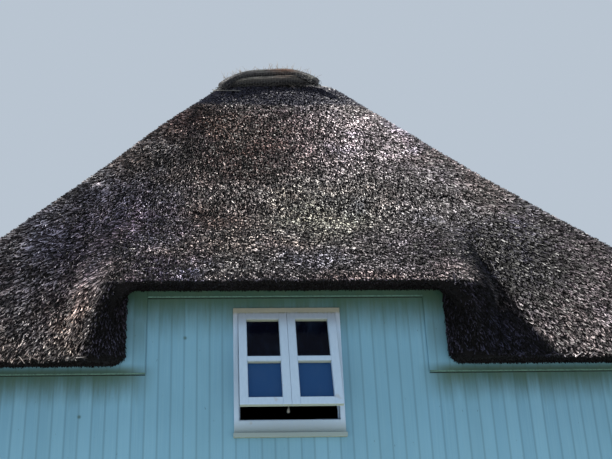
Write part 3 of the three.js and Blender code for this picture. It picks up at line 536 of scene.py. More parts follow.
# The lower rolls' ramp is paler than the upper rolls': painted light, since the upper rolls keep the sun off
# them
LIT_LOWER_ROLL = tones((0.0, 66, 62, 60), (0.5, 120, 116, 112), (0.85, 150, 146, 140), (1.0, 184, 178, 166))
FIELDSTONE = tones((0.0, 96, 88, 78), (0.35, 128, 122, 112), (0.7, 112, 98, 86), (1.0, 158, 148, 134))
# Painted blue reflection for the foot of the panes, and painted shade of the room for the rest
BLUE_REFLECTION, ROOM_SHADE = colour(42, 75, 119), colour(17, 19, 29)

thatch = thatch_finish("weathered_thatch", WEATHERED)
thatch_base = thatch_finish("thatch_base", BASE_TONE)
side_thatch = thatch_finish("side_thatch", WEATHERED, SIDE_TINT)
side_base = thatch_finish("side_base", BASE_TONE, SIDE_TINT)
ridge_reed = bundle_finish("ridge_reed", RIDGE_REED)
upper_roll_reed = bundle_finish("upper_roll_reed", UPPER_ROLL_REED)
lit_lower_roll_reed = bundle_finish("lit_lower_roll_reed", LIT_LOWER_ROLL)
straw = metal_finish("loose_straw", colour(132, 112, 84), 0.0, 0.6)
gable_boards = boards_finish("painted_boards_gable", "X")
long_boards = boards_finish("painted_boards_long", "Y", 0.0)
door_boards = boards_finish("painted_boards_door", "Y", 0.0, stained=False)
room_wash = room_finish("limewash")
gable_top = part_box("gable_window_frame")[1].z
ground_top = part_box("window_front_1")[1].z
window_height = gable_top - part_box("gable_window_sill")[0].z
gable_white = white_finish("white_wood_gable", gable_top, window_height)
ground_white = white_finish("white_wood_ground", ground_top, window_height)
door_white = white_finish("white_wood_door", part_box("door_frame")[1].z, 2.0)
bar_height = gable_top - BAR_MIDDLE
gable_glass = glass_finish("window_glass_gable", BLUE_REFLECTION, ROOM_SHADE, bar_height - 0.02, bar_height + 0.06)
ground_middle = ground_top - window_height / 2
ground_glass = glass_finish("window_glass_ground", BLUE_REFLECTION, ROOM_SHADE, ground_middle - 0.5, ground_middle + 0.4)
fieldstone = stone_finish("fieldstone", FIELDSTONE, 14.0)
mortar = stone_finish("mortar", tones((0.0, 112, 108, 98), (1.0, 120, 114, 104)), 30.0)
step_stone = stone_finish("step_stone", tones((0.0, 128, 124, 116), (1.0, 132, 126, 118)), 20.0)
old_boards = floor_finish("floor_boards")
iron = metal_finish("black_iron", colour(42, 42, 46), 0.6, 0.45)
# Painted highlight for the border boards' lower edges, and a dark joint that also paints the shadow under
# them
edge_highlight = metal_finish("edge_painted_highlight", colour(86, 122, 110), 0.0, 0.5)
joint_and_shadow_gap = metal_finish("joint_and_shadow_gap", colour(28, 44, 40), 0.0, 0.8)
steel = metal_finish("bare_steel", colour(150, 148, 140), 0.9, 0.3)
wire = metal_finish("old_wire", colour(120, 120, 118), 0.7, 0.5)


def mesh_object(name, vertices, faces, materials, smooth=False):
    """Object from arrays of places and of corner numbers, all faces with as many corners."""
    vertices = np.asarray(vertices, dtype=np.float32)
    faces = np.asarray(faces, dtype=np.int32)
    corners = faces.shape[1]
    mesh = bpy.data.meshes.new(name)
    mesh.vertices.add(len(vertices))
    mesh.vertices.foreach_set("co", vertices.ravel())
    mesh.loops.add(faces.size)
    mesh.loops.foreach_set("vertex_index", faces.ravel())
    mesh.polygons.add(len(faces))
    mesh.polygons.foreach_set("loop_start", np.arange(0, faces.size, corners, dtype=np.int32))
    mesh.polygons.foreach_set("loop_total", np.full(len(faces), corners, dtype=np.int32))
    for material in materials:
        mesh.materials.append(material)
    mesh.polygons.foreach_set("use_smooth", np.full(len(faces), smooth))
    mesh.update(calc_edges=True)
    mesh.validate()
    made = bpy.data.objects.new(name, mesh)
    bpy.context.scene.collection.objects.link(made)
    return made


def shown(piece, slot, *nodes):
    """Rides the piece on the house and hides the nodes that it stands for; its slot is not used."""
    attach(piece, "root")
    if nodes:
        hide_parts(*nodes)
    return piece


def rework(source, target, change):
    """Writes the faces of mesh data, changed, into other mesh data or back into the same."""
    mesh = bmesh.new()
    mesh.from_mesh(source)
    change(mesh)
    mesh.to_mesh(target)
    mesh.free()


def node_copy(node, name):
    """Copy of a node's solid with its shared corners joined."""
    data = bpy.data.meshes.new(name)
    rework(NODES[node].data, data, lambda mesh: bmesh.ops.remove_doubles(mesh, verts=mesh.verts, dist=1e-5))
    data.materials.clear()
    made = bpy.data.objects.new(name, data)
    bpy.context.scene.collection.objects.link(made)
    return made


def apply_modifiers(piece):
    """Keeps the shape that the modifiers make, and drops them."""
    graph = bpy.context.evaluated_depsgraph_get()
    graph.update()
    kept = bpy.data.meshes.new_from_object(piece.evaluated_get(graph))
    piece.modifiers.clear()
    piece.data = kept
    return piece


def soften(piece, width=SOFT_EDGE, segments=2):
    """Rounds the sharp edges of a piece."""
    rework(piece.data, piece.data, lambda mesh: bmesh.ops.dissolve_limit(
        mesh, angle_limit=0.002, verts=mesh.verts, edges=mesh.edges))
    bevel = piece.modifiers.new("soft edges", "BEVEL")
    bevel.width, bevel.segments = width, segments
    bevel.limit_method, bevel.angle_limit = "ANGLE", math.radians(40)
    return apply_modifiers(piece)


def recolour(piece, *finishes):
    """Gives a piece these finishes in place of those it has."""
    piece.data.materials.clear()
    for finish in finishes:
        piece.data.materials.append(finish)


def soft_piece(node, label, finish, slot, width=SOFT_EDGE, segments=2):
    """Softly edged copy of a node's solid, shown in its place."""
    piece = soften(node_copy(node, label), width, segments)
    recolour(piece, finish)
    return shown(piece, slot, node)


BOX_FACES = np.array([[0, 3, 2, 1], [4, 5, 6, 7], [0, 1, 5, 4], [1, 2, 6, 5], [2, 3, 7, 6], [3, 0, 4, 7]])


def boxes(name, sizes, place, material, width=SOFT_EDGE):
    """Softly edged boards, each from (x0, x1, y0, y1, z0, z1) in a frame of its own."""
    vertices, faces = [], []
    for x0, x1, y0, y1, z0, z1 in sizes:
        faces.append(BOX_FACES + 8 * len(faces))
        for z in (z0, z1):
            vertices += [(x0, y0, z), (x1, y0, z), (x1, y1, z), (x0, y1, z)]
    placed = [place @ Vector(v) for v in vertices]
    made = mesh_object(name, placed, np.concatenate(faces), [material])
    return soften(made, width)


# Walls


def grooves(name, along, low, high, surface, out, start):
    """Upright prisms that cut the joints between boards into a wall's outer face."""
    first = math.ceil((low - start) / BOARD_COVER)
    last = math.floor((high - start) / BOARD_COVER)
    vertices, faces = [], []
    z0, z1 = PLINTH_TOP - 0.1, CROWN_HEIGHT
    spread = GROOVE_WIDTH / 2 * (1 + GROOVE_PAST / GROOVE_DEPTH)
    for number in range(first, last + 1):
        middle = start + number * BOARD_COVER
        section = [(middle, surface - out * GROOVE_DEPTH), (middle + spread, surface + out * GROOVE_PAST),
                   (middle - spread, surface + out * GROOVE_PAST)]
        turning = section if (out < 0) == (along == "X") else section[::-1]
        base = len(vertices)
        for z in (z0, z1):
            vertices += [(a, s, z) if along == "X" else (s, a, z) for a, s in turning]
        faces += [[base, base + 2, base + 1], [base + 3, base + 4, base + 5]]
        for i in range(3):
            j = (i + 1) % 3
            faces += [[base + i, base + j, base + 3 + j], [base + i, base + 3 + j, base + 3 + i]]
    return mesh_object(name, vertices, faces, [])


def cut_grooves(piece, cutter):
    """Cuts the joints between boards into a piece."""
    cut = piece.modifiers.new("grooves", "BOOLEAN")
    cut.operation, cut.solver, cut.object = "DIFFERENCE", "EXACT", cutter
    apply_modifiers(piece)
    bpy.data.objects.remove(cutter)


def dress_wall(node, along, out):
    """Wall with its outer face cut into boards, and limewash inside."""
    low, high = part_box(node)
    finish, start = (gable_boards, BOARD_START) if along == "X" else (long_boards, 0.0)
    lengthwise, outward = (0, 1) if along == "X" else (1, 0)
    surface = (low if out < 0 else high)[outward]
    wall = node_copy(node, "boarded_" + node)
    cut_grooves(wall, grooves("grooves", along, low[lengthwise], high[lengthwise], surface, out, start))
    recolour(wall, finish, room_wash)
    inner = surface - out * (WALL_THICKNESS - ROOM_SKIN)
    for face in wall.data.polygons:
        face.material_index = int((face.center[outward] - inner) * out < 0)
    return shown(wall, "painted_boards", node)


for wall_node, wall_along, wall_out in (("wall_front", "X", -1), ("wall_back", "X", 1),
                                        ("wall_left", "Y", -1), ("wall_right", "Y", 1)):
    dress_wall(wall_node, wall_along, wall_out)

for border in ("front_left", "front_right", "front_top", "back", "left", "right"):
    finish = long_boards if border in ("left", "right") else gable_boards
    soft_piece("border_" + border, "board_border_" + border, finish, "painted_boards")


def trim_edges():
    """Lower edges of the gable's border boards, paler as a painted highlight, each over a dark joint that
    also paints the shadow under it.
    """
    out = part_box("border_front_top")[0].y + WALL_HALF_LENGTH
    place = Matrix.Translation((0, -WALL_HALF_LENGTH, 0))
    edges, joints = [], []
    for node in ("border_front_left", "border_front_top", "border_front_right"):
        low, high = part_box(node)
        ends = (low.x + TRIM_INSET, high.x - TRIM_INSET)
        edges.append((*ends, out - EDGE_PROUD, out + EDGE_DEPTH, low.z, low.z + EDGE_HEIGHT))
        joints.append((*ends, -JOINT_PROUD, JOINT_DEPTH, low.z - JOINT_HEIGHT, low.z - JOINT_GAP))
    shown(boxes("border_edges", edges, place, edge_highlight), "painted_boards")
    shown(boxes("border_joints", joints, place, joint_and_shadow_gap, 0.001), "painted_boards")


trim_edges()


# Thatch


def smooth_step(value, low, high):
    share = np.clip((value - low) / (high - low), 0, 1)
    return share * share * (3 - 2 * share)


def normalised(vectors):
    return vectors / np.maximum(np.linalg.norm(vectors, axis=1, keepdims=True), 1e-9)


def crossed(corners):
    """Vectors square to triangles, each as long as twice its triangle's area."""
    return np.cross(corners[:, 1] - corners[:, 0], corners[:, 2] - corners[:, 0])


noise.seed_set(WAVE_SEED)


def wave(point):
    """Uneven lie of the thatch at a place on its slope, with the swells that it has settled into."""
    moved = noise.noise_vector(point / WAVE_LONG) * WAVE_LONG_DEPTH
    moved += noise.noise_vector(point / WAVE_SHORT + Vector((5, 9, 2))) * WAVE_SHORT_DEPTH
    out = Vector((point.x / EAVE_HALF_WIDTH, point.y / EAVE_HALF_LENGTH, 0.6)).normalized()
    moved -= out * COAT_INSET
    for middle, reach, height in SWELLS:
        moved += out * (height * math.exp(-((point - middle).length / reach) ** 2))
    return moved


def split_triangle(corners, cuts):
    """Triangles that fill one whose edges are cut at new corners, or not cut where the number is -1."""
    count = sum(cut >= 0 for cut in cuts)
    if count == 0:
        return [corners]
    if count == 3:
        a, b, c = corners
        d, e, f = cuts
        return [(a, d, f), (d, b, e), (f, e, c), (d, e, f)]
    first = next(i for i in range(3) if cuts[i] >= 0 and (count == 1 or cuts[(i + 1) % 3] >= 0))
    a, b, c = (corners[(first + i) % 3] for i in range(3))
    d, e = cuts[first], cuts[(first + 1) % 3]
    if count == 1:
        return [(a, d, c), (d, b, c)]
    return [(d, b, e), (a, d, e), (a, e, c)]


def cut_finer(places, triangles):
    """Halves the edges of faces that don't look down, until none is over COAT_EDGE."""
    for _ in range(COAT_ROUNDS):
        up = normalised(crossed(places[triangles]))[:, 2]
        ends = np.stack([triangles, np.roll(triangles, -1, axis=1)], axis=2)
        edges, used = np.unique(np.sort(ends, axis=2).reshape(-1, 2), axis=0, return_inverse=True)
        used = used.reshape(-1, 3)
        weathered = np.zeros(len(edges), dtype=bool)
        weathered[used[up > -0.2]] = True
        wide = weathered & (np.linalg.norm(places[edges[:, 0]] - places[edges[:, 1]], axis=1) > COAT_EDGE)
        if not wide.any():
            break
        middles = np.full(len(edges), -1)
        middles[wide] = len(places) + np.arange(np.count_nonzero(wide))
        places = np.vstack([places, places[edges[wide]].mean(axis=1)])
        triangles = np.array([part for corners, cuts in zip(triangles.tolist(), middles[used].tolist())
                              for part in split_triangle(corners, cuts)])
    return places, triangles


def thatch_coat(node, shelter_shade, base):
    """The node's solid, cut finer and waved like settled reed."""
    solid = node_copy(node, "solid_" + node)
    solid.data.calc_loop_triangles()
    triangles = np.array([tuple(face.vertices) for face in solid.data.loop_triangles])
    places = np.array([tuple(corner.co) for corner in solid.data.vertices])
    bpy.data.objects.remove(solid)
    places, triangles = cut_finer(places, triangles)
    coat = mesh_object("coat_" + node, places, triangles, [base])
    normals = np.empty(3 * len(places))
    coat.data.vertices.foreach_get("normal", normals)
    lift = smooth_step(normals.reshape(-1, 3)[:, 2], -0.1, 0.35)
    for corner in np.flatnonzero(lift > 0):
        places[corner] += np.array(wave(Vector(places[corner]))) * lift[corner]
    lip = smooth_step(np.abs(places[:, 1]), WALL_HALF_LENGTH + 0.1, EAVE_HALF_LENGTH - 0.02)
    places[:, 2] -= LIP_DROP * lip * smooth_step(places[:, 2], HIGH_EAVE + 0.12, HIGH_EAVE)
    coat.data.vertices.foreach_set("co", places.ravel())
    coat.data.update()
    # Painted shade on the coat between the reeds: the given share on faces that look up, full on the rest
    set_shelter_shade(coat, [shelter_shade if face.normal.z > 0.1 else 1.0 for face in coat.data.polygons])
    return coat


def set_shelter_shade(piece, values):
    """Says how sheltered from light and rain each face of the reed is, which the finishes paint as shade."""
    shelter_shade = piece.data.attributes.new("shelter_shade", "FLOAT", "FACE")
    shelter_shade.data.foreach_set("value", np.asarray(values, dtype=np.float32))


def shelter_shade_of(spot, normal):
    """Share of painted shade at places on the roof: undersides, cheeks of the gaps in the eaves, and the
    painted shadow in their lee.
    """
    under = smooth_step(-normal[:, 2], -0.05, 0.35)
    x, y, z = spot.T
    inward = -normal[:, 0] * np.sign(x - WINDOW_AXIS)
    past = np.abs(x - WINDOW_AXIS) - LIFT_HALF_WIDTH
    beyond = np.abs(y) > WALL_HALF_LENGTH
    cheek = smooth_step(inward, 0.05, 0.4) * (past < CHEEK_REACH) * beyond
    front = (y < -WALL_HALF_LENGTH) & (past < LEE_REACH)
    below = HIGH_EAVE - z
    left = smooth_step(x - LEFT_LEE_START + LEFT_LEE_SLANT * below, -0.06, 0.06)
    left *= smooth_step(below, -0.05, 0.04)
    right = smooth_step(RIGHT_LEE_SLANT * below + RIGHT_LEE_START - x, -0.04, 0.04)
    climb = smooth_step(x, LEE_CLIMB_START, LEE_CLIMB_END) * (below > -LEE_CLIMB)
    right *= np.maximum(smooth_step(below, -0.03, 0.03), climb)
    lee = np.where(x < WINDOW_AXIS, left, right) * front
    return np.maximum(under, LEE_SHARE * np.maximum(cheek, lee))


def triangles_of(piece):
    """Corners of a triangulated piece's faces."""
    data = piece.data
    places = np.empty(3 * len(data.vertices))
    data.vertices.foreach_get("co", places)
    corners = np.empty(len(data.loops), dtype=np.int32)
    data.loops.foreach_get("vertex_index", corners)
    return places.reshape(-1, 3)[corners.reshape(-1, 3)]


def fanned(spot, fall, lie):
    """Turns the reeds of a slope towards its hips, more the nearer they lie to them."""
    share = (CROWN_HEIGHT - spot[:, 2]) / ROOF_RISE
    if abs(lie[1]) > abs(lie[0]):
        across, half, run, other = 0, CROWN_HALF_WIDTH, SIDE_RUN, END_RUN
    else:
        across, half, run, other = 1, CROWN_HALF_LENGTH, END_RUN, SIDE_RUN
    place = spot[:, across] / (half + run * share)
    turn = np.sign(place) * smooth_step(np.abs(place), FAN_START, 1.0)
    fall[:, across] += turn * run / math.hypot(other, ROOF_RISE)
    return fall


def reeds(name, material, corners, count, lie, seed, pieces=1, thick=1.0):
    """Reed ends stuck in a coat: slim pyramids whose butts stand a little proud and point down the slope."""
    rng = np.random.default_rng(seed)
    cross = crossed(corners)
    area = np.linalg.norm(cross, axis=1) / 2
    ends = np.cumsum(area)
    picks = np.searchsorted(ends, (np.arange(count) + rng.random(count)) / count * ends[-1])
    picks = np.minimum(picks, len(area) - 1)
    a, b = rng.random(count), rng.random(count)
    over = a + b > 1
    a[over], b[over] = 1 - a[over], 1 - b[over]
    base = corners[picks]
    spot = base[:, 0] + a[:, None] * (base[:, 1] - base[:, 0]) + b[:, None] * (base[:, 2] - base[:, 0])
    normal = normalised(cross)[picks]
    steepest = normalised(normal * normal[:, 2:3] - np.array([0, 0, 1.0]))
    lie = np.asarray(lie)
    share = smooth_step(normal[:, 2:3], *REED_STEEPEST)
    fall = normalised(fanned(spot, steepest * share + lie * (1 - share), lie))
    side = normalised(np.cross(fall, normal + 1e-4))
    yaw = rng.normal(0, REED_YAW / 2, count)[:, None]
    fall = normalised(fall * np.cos(yaw) + side * np.sin(yaw))
    side = normalised(np.cross(fall, normal + 1e-4))
    out = np.cross(side, fall)
    length = rng.uniform(*REED_LENGTH, count)[:, None]
    radius = thick * rng.uniform(*REED_RADIUS, count)[:, None]
    proud = rng.uniform(*REED_PROUD, count)[:, None]
    reach = np.where(normal[:, 2:3] < -0.3, REED_SOFFIT_REACH, REED_REACH)
    butt = spot + fall * length * reach + out * proud
    root = spot - fall * length * (1 - reach) - out * REED_ROOT
    vertices = np.empty((count, 4, 3))
    vertices[:, 0] = root
    turn = rng.uniform(-0.6, 0.6, count)[:, None]
    for i in range(3):
        angle = turn + i * 2 * math.pi / 3
        vertices[:, i + 1] = butt + radius * (out * np.cos(angle) + side * np.sin(angle))
    pattern = np.array([[0, 1, 2], [0, 2, 3], [0, 3, 1], [1, 3, 2]])
    # Share of painted shade and shadow on each reed
    shelter_shade = shelter_shade_of(spot, normal)
    order = rng.permutation(count)
    made = []
    for part in range(pieces):
        chosen = order[part::pieces]
        faces = (pattern[None] + 4 * np.arange(len(chosen))[:, None, None]).reshape(-1, 3)
        label = name if pieces == 1 else f"{name}_{part + 1}"
        layer = mesh_object(label, vertices[chosen].reshape(-1, 3), faces, [material])
        set_shelter_shade(layer, np.repeat(shelter_shade[chosen], 4))
        made.append(layer)
    return made


def outer_faces(corners):
    """Faces of a coat that the weather reaches: slopes, eave, soffit and cheeks."""
    up = normalised(crossed(corners))[:, 2]
    x, y, z = corners.mean(axis=1).T
    outside = (np.abs(y) > WALL_HALF_LENGTH + 0.01) | (np.abs(x) > WALL_HALF_WIDTH + 0.01)
    hip = (np.abs(up) < 0.02) & (np.abs(x) > HIP_CHEEK_START)
    covered = z > CROWN_HEIGHT - CROWN_COVERED
    return corners[((up > 0.1) | (outside & ~hip)) & ~covered]


# Each slope's node, how its reeds lie, how many, in how many pieces, how thick, and how much painted shade
# darkens the coat between them
THATCH = (("thatch_front", (0, -END_RUN, -ROOF_RISE), 97000, 2, 1.0, 1.0),
          ("thatch_back", (0, END_RUN, -ROOF_RISE), 22000, 1, 1.5, 0.4),
          ("thatch_left", (-SIDE_RUN, 0, -ROOF_RISE), 27000, 1, 1.5, 0.4),
          ("thatch_right", (SIDE_RUN, 0, -ROOF_RISE), 27000, 1, 1.5, 0.4))
for number, (node, lie, count, split, thick, shelter_shade) in enumerate(THATCH):
    reed_finish, base = (thatch, thatch_base) if node == "thatch_front" else (side_thatch, side_base)
    coat = shown(thatch_coat(node, shelter_shade, base), "thatch", node)
    lie = Vector(lie).normalized()
    weathered = outer_faces(triangles_of(coat))
    for layer in reeds("reeds_" + node, reed_finish, weathered, count, lie, 20 + number, split, thick):
        shown(layer, "thatch")


# Ridge


def ridge_reeds(name, node, count, seed):
    """Reed stalks laid across the ridge, over its cap."""
    cap = node_copy(node, "cap_" + node)
    rework(cap.data, cap.data, lambda mesh: bmesh.ops.triangulate(mesh, faces=mesh.faces))
    recolour(cap, ridge_reed)
    shown(cap, "ridge_reed", node)
    corners = triangles_of(cap)
    upper = corners[normalised(crossed(corners))[:, 2] > 0.1]
    right = upper[:, :, 0].mean(axis=1) > CAP_MIDDLE
    for hand, side, faces in (("right", 1, upper[right]), ("left", -1, upper[~right])):
        for layer in reeds(f"{name}_{hand}", ridge_reed, faces, count, (side * 0.8, 0, -0.6), seed + side):
            shown(layer, "ridge_reed")


ridge_reeds("ridge_stalks", "ridge_cap", 6000, 40)


def tube(points, radius, sides, closed=False):
    """Places and quads of a round strand along points."""
    points = np.asarray(points, dtype=float)
    count = len(points)
    if closed:
        tangent = normalised(np.roll(points, -1, axis=0) - np.roll(points, 1, axis=0))
    else:
        tangent = normalised(np.gradient(points, axis=0))
    guide = np.array([0.13, 0.2, 0.97])
    across = normalised(np.cross(tangent, guide))
    over = np.cross(across, tangent)
    angles = np.arange(sides) * 2 * math.pi / sides
    radius = np.broadcast_to(radius, (count,))[:, None, None]
    rings = points[:, None] + radius * (across[:, None] * np.cos(angles)[None, :, None]
                                        + over[:, None] * np.sin(angles)[None, :, None])
    faces = []
    for i in range(count if closed else count - 1):
        following = (i + 1) % count
        for j in range(sides):
            k = (j + 1) % sides
            faces.append([i * sides + j, following * sides + j, following * sides + k, i * sides + k])
    vertices = rings.reshape(-1, 3)
    if not closed:
        for end, centre in ((0, points[0]), (count - 1, points[-1])):
            tip = len(vertices)
            vertices = np.vstack([vertices, centre])
            for j in range(0, sides, 2):
                around = [end * sides + (j + s) % sides for s in range(3)]
                faces.append([tip, *(around[::-1] if end else around)])
    return vertices, np.array(faces)


def strands(name, tubes, material):
    """One smooth object from many tubes."""
    vertices, faces, start = [], [], 0
    for places, quads in tubes:
        vertices.append(places)
        faces.append(quads + start)
        start += len(places)
    return mesh_object(name, np.concatenate(vertices), np.concatenate(faces), [material], smooth=True)


def roll_route(end, half, fall_at_end, drop, step, count):
    """Middle line of a roll, bent over one end of the ridge."""
    share = np.linspace(-1, 1, count)
    fall = fall_at_end * np.abs(share) ** CAP_ROUNDNESS
    x = ROLL_AXIS + half * share
    y = end * (CAP_HALF_LENGTH + ROLL_RADIUS + step + fall * END_RUN / ROOF_RISE)
    z = CAP_TOP + ROLL_RISE - drop - fall + ROLL_TILT * half * share
    return np.stack([x, y, z + ROLL_WOBBLE * np.sin(5.1 * share + 1.3 * end)], axis=1)


def around(route):
    """Directions across and over a route at each of its points."""
    tangent = normalised(np.gradient(route, axis=0))
    across = normalised(np.cross(tangent, np.array([0, 0, 1.0])))
    return across, np.cross(across, tangent)


def beside(route, reach, angle):
    """Line along a route, at a distance from it and turned round it."""
    across, over = around(route)
    angle = np.broadcast_to(angle, (len(route),))[:, None]
    reach = np.broadcast_to(reach, (len(route),))[:, None]
    return route + reach * (across * np.cos(angle) + over * np.sin(angle))


def circle(middle, radius, first, second, sides):
    """Places round a middle, in the plane of two directions."""
    turn = np.linspace(0, 2 * math.pi, sides, endpoint=False)[:, None]
    return middle + radius * (first * np.cos(turn) + second * np.sin(turn))


def roll_piece(node, route, finish, seed):
    """A bent bundle of reed in a net of wire, with stalks that work loose."""
    rng = np.random.default_rng(seed)
    count = len(route)
    share = np.linspace(0, 1, count)
    pinch = 1 - 0.2 * (2 * np.abs(share - 0.5)) ** 6
    tubes = [tube(route, BUNDLE_CORE * pinch, 12)]
    for i in range(BUNDLE_STALKS):
        start = 0 if rng.random() < 0.7 else rng.integers(0, count // 2)
        stop = count if rng.random() < 0.7 else rng.integers(count // 2 + 2, count)
        twist = rng.normal(0, 0.35) * share + i * 2 * math.pi / BUNDLE_STALKS + rng.normal(0, 0.06)
        reach = (ROLL_RADIUS - 0.010 + rng.uniform(-0.006, 0.002)
                 + 0.003 * np.sin(share * rng.uniform(8, 24) + rng.uniform(0, 6))) * pinch
        line = beside(route, reach, twist)[start:stop]
        tubes.append(tube(line, rng.uniform(*STALK_RADIUS), 5))
    bundle = shown(strands("bundle_" + node, tubes, finish), "ridge_reed", node)
    # Painted shade on each face, from none on the roll's top to full underneath
    middles = np.array([face.center for face in bundle.data.polygons])
    above = (middles[:, 2] - np.interp(middles[:, 0], route[:, 0], route[:, 2])) / ROLL_RADIUS
    set_shelter_shade(bundle, smooth_step(-above, -0.25, 0.55))
    net = []
    across, over = around(route)
    for i in range(1, count - 1):
        ring = circle(route[i], (ROLL_RADIUS + 0.002) * pinch[i], across[i], over[i], NET_RING_SIDES)
        net.append(tube(ring, NET_RING_WIRE, 4, closed=True))
    for i in range(NET_LINES):
        for way in (-1, 1):
            angle = i * 2 * math.pi / NET_LINES + way * NET_TURNS * share
            net.append(tube(beside(route, (ROLL_RADIUS + 0.003) * pinch, angle), NET_LINE_WIRE, 3))
    shown(strands("netting_" + node, net, wire), "bare_steel")


def wisps(name, route, number, seed):
    """Thin stalks that stick up and out of a roll."""
    rng = np.random.default_rng(seed)
    across, over = around(route)
    tubes = []
    for _ in range(number):
        i = int(rng.integers(1, len(route) - 1))
        out = 1 if over[i][2] > 0 else -1
        way = out * over[i] + rng.normal(0, 0.55, 3)
        way /= np.linalg.norm(way)
        start = route[i] + (ROLL_RADIUS - 0.015) * out * over[i] + rng.normal(0, 0.012, 3)
        length = rng.uniform(*WISP_LENGTH)
        bend = rng.normal(0, 0.25, 3)
        points = [start + way * length * t + bend * length * t * t for t in (0, 0.33, 0.66, 1.0)]
        tubes.append(tube(points, np.array(WISP_RADII), 3))
    shown(strands(name, tubes, straw), "ridge_reed")


def wire_loops(name, place, seed):
    """Curls of the netting's wire at the end of a roll."""
    rng = np.random.default_rng(seed)
    tubes = []
    for _ in range(LOOPS):
        first = normalised(rng.normal(0, 1, (1, 3)))[0]
        second = normalised(np.cross(first, rng.normal(0, 1, 3))[None])[0]
        radius = rng.uniform(*LOOP_RADIUS)
        middle = place + rng.normal(0, 0.012, 3)
        tubes.append(tube(circle(middle, radius, first, second, 20), LOOP_WIRE, 4, closed=True))
    shown(strands(name, tubes, wire), "bare_steel")


def ridge_stick(name, end):
    """Thin stick that pins the thatch beside a roll."""
    line = [(ROLL_AXIS + x, end * (STICK_OUT + STICK_SLOPE * i), STICK_HEIGHT - STICK_SLOPE * i)
            for i, x in enumerate(STICK_ALONG)]
    shown(strands(name, [tube(line, STICK_RADIUS, 6)], wire), "bare_steel")


for number, (side, end) in enumerate((("front", -1), ("back", 1))):
    ridge_stick("ridge_stick_" + side, end)
    upper = roll_route(end, UPPER_ROLL_HALF_WIDTH, UPPER_ROLL_FALL, ROLL_RADIUS, 0.0, 34)
    lower = roll_route(end, LOWER_ROLL_HALF_WIDTH, LOWER_ROLL_FALL, 3 * ROLL_RADIUS, LOWER_ROLL_STEP, 28)
    roll_piece("ridge_roll_upper_" + side, upper, upper_roll_reed, 50 + number)
    roll_piece("ridge_roll_lower_" + side, lower, lit_lower_roll_reed, 52 + number)
    wisps("wisps_" + side, upper, 110, 54 + number)
    for hand, place in (("left", upper[0]), ("right", upper[-1])):
        wire_loops(f"wire_loops_{side}_{hand}", place, 56 + number)


# Windows


def wall_place(x, y, turn):
    """Frame whose X runs along a wall, whose -Y points out of it and whose Z is up."""
    return Matrix.Translation((x, y, 0)) @ Matrix.Rotation(turn, 4, "Z")


def sash_limits(x0, x1, z0, z1, bar_drop):
    """Limits of the two panes of a sash: left, right, foot, under the bar, over it, and head."""
    middle = (z0 + z1) / 2 - bar_drop
    return (x0 + SASH_STILE, x1 - SASH_STILE, z0 + SASH_STILE, middle - SASH_BAR / 2, middle + SASH_BAR / 2,
            z1 - SASH_STILE)


def sash_boards(x0, x1, z0, z1, y0, y1, bar_drop=0.0):
    """Stiles, rails and glazing bar of a sash."""
    left, right, foot, under, over, head = sash_limits(x0, x1, z0, z1, bar_drop)
    return [(x0, left, y0, y1, z0, z1), (right, x1, y0, y1, z0, z1), (left, right, y0, y1, head, z1),
            (left, right, y0, y1, z0, foot), (left, right, y0, y1, under, over)]


def pane_beads(x0, x1, z0, z1, y0, y1, width, bar_drop=0.0):
    """Glazing beads round the two panes of a sash."""
    left, right, foot, under, over, head = sash_limits(x0, x1, z0, z1, bar_drop)
    beads = []
    for low, high in ((foot, under), (over, head)):
        beads += [(left, left + width, y0, y1, low, high), (right - width, right, y0, y1, low, high),
                  (left + width, right - width, y0, y1, low, low + width),
                  (left + width, right - width, y0, y1, high - width, high)]
    return beads


def clear_opening(top):
    """Half the width, the foot and the head of the opening in a window frame."""
    return WINDOW_HALF_WIDTH - FRAME_FACE, top - window_height + FRAME_BOTTOM_RAIL, top - FRAME_FACE


WALL_SIDES = {"front": (0, -WALL_HALF_LENGTH, 0), "back": (0, WALL_HALF_LENGTH, math.pi),
              "left": (-WALL_HALF_WIDTH, 0, -math.pi / 2), "right": (WALL_HALF_WIDTH, 0, math.pi / 2)}
GABLES = ("front", "back")


def shut_window(node, side, finish, glass):
    """Shut window: its solid with softened edges, lipped sashes, beads and panes."""
    low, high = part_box(node)
    middle = (low + high) / 2
    x, y, turn = WALL_SIDES[side]
    place = wall_place(middle.x, y, turn) if side in GABLES else wall_place(x, middle.y, turn)
    half, bottom, head = clear_opening(high.z)
    soft_piece(node, "joinery_" + node, finish, "white_wood")
    front = -FRAME_PROUD
    foot, top = bottom + SHUT_CLEARANCE, head - SHUT_CLEARANCE
    sizes = []
    for x0, x1 in ((-half + SHUT_CLEARANCE, -MEETING_CLEARANCE), (MEETING_CLEARANCE, half - SHUT_CLEARANCE)):
        sizes += sash_boards(x0, x1, foot, top, front - SHUT_SASH_PROUD, front - 0.0004)
        sizes += pane_beads(x0, x1, foot, top, front - SHUT_BEAD_PROUD, front + SHUT_BEAD_DEPTH, SHUT_BEAD)
    sizes.append((-LIP_HALF_WIDTH, LIP_HALF_WIDTH, front - LIP_PROUD, front - SHUT_SASH_PROUD - 0.0005,
                  bottom + LIP_INSET, head - LIP_INSET))
    shown(boxes("sashes_" + node, sizes, place, finish), "white_wood")
    pane = [(-half + PANE_INSET, half - PANE_INSET, front + PANE_NEAR, front + PANE_FAR,
             bottom + PANE_INSET, head - PANE_INSET)]
    shown(boxes("panes_" + node, pane, place, glass, 0.001), "window_glass")


for side in WALL_SIDES:
    for number in (1, 2):
        shut_window(f"window_{side}_{number}", side, ground_white, ground_glass)
shut_window("window_back_gable", "back", gable_white, gable_glass)


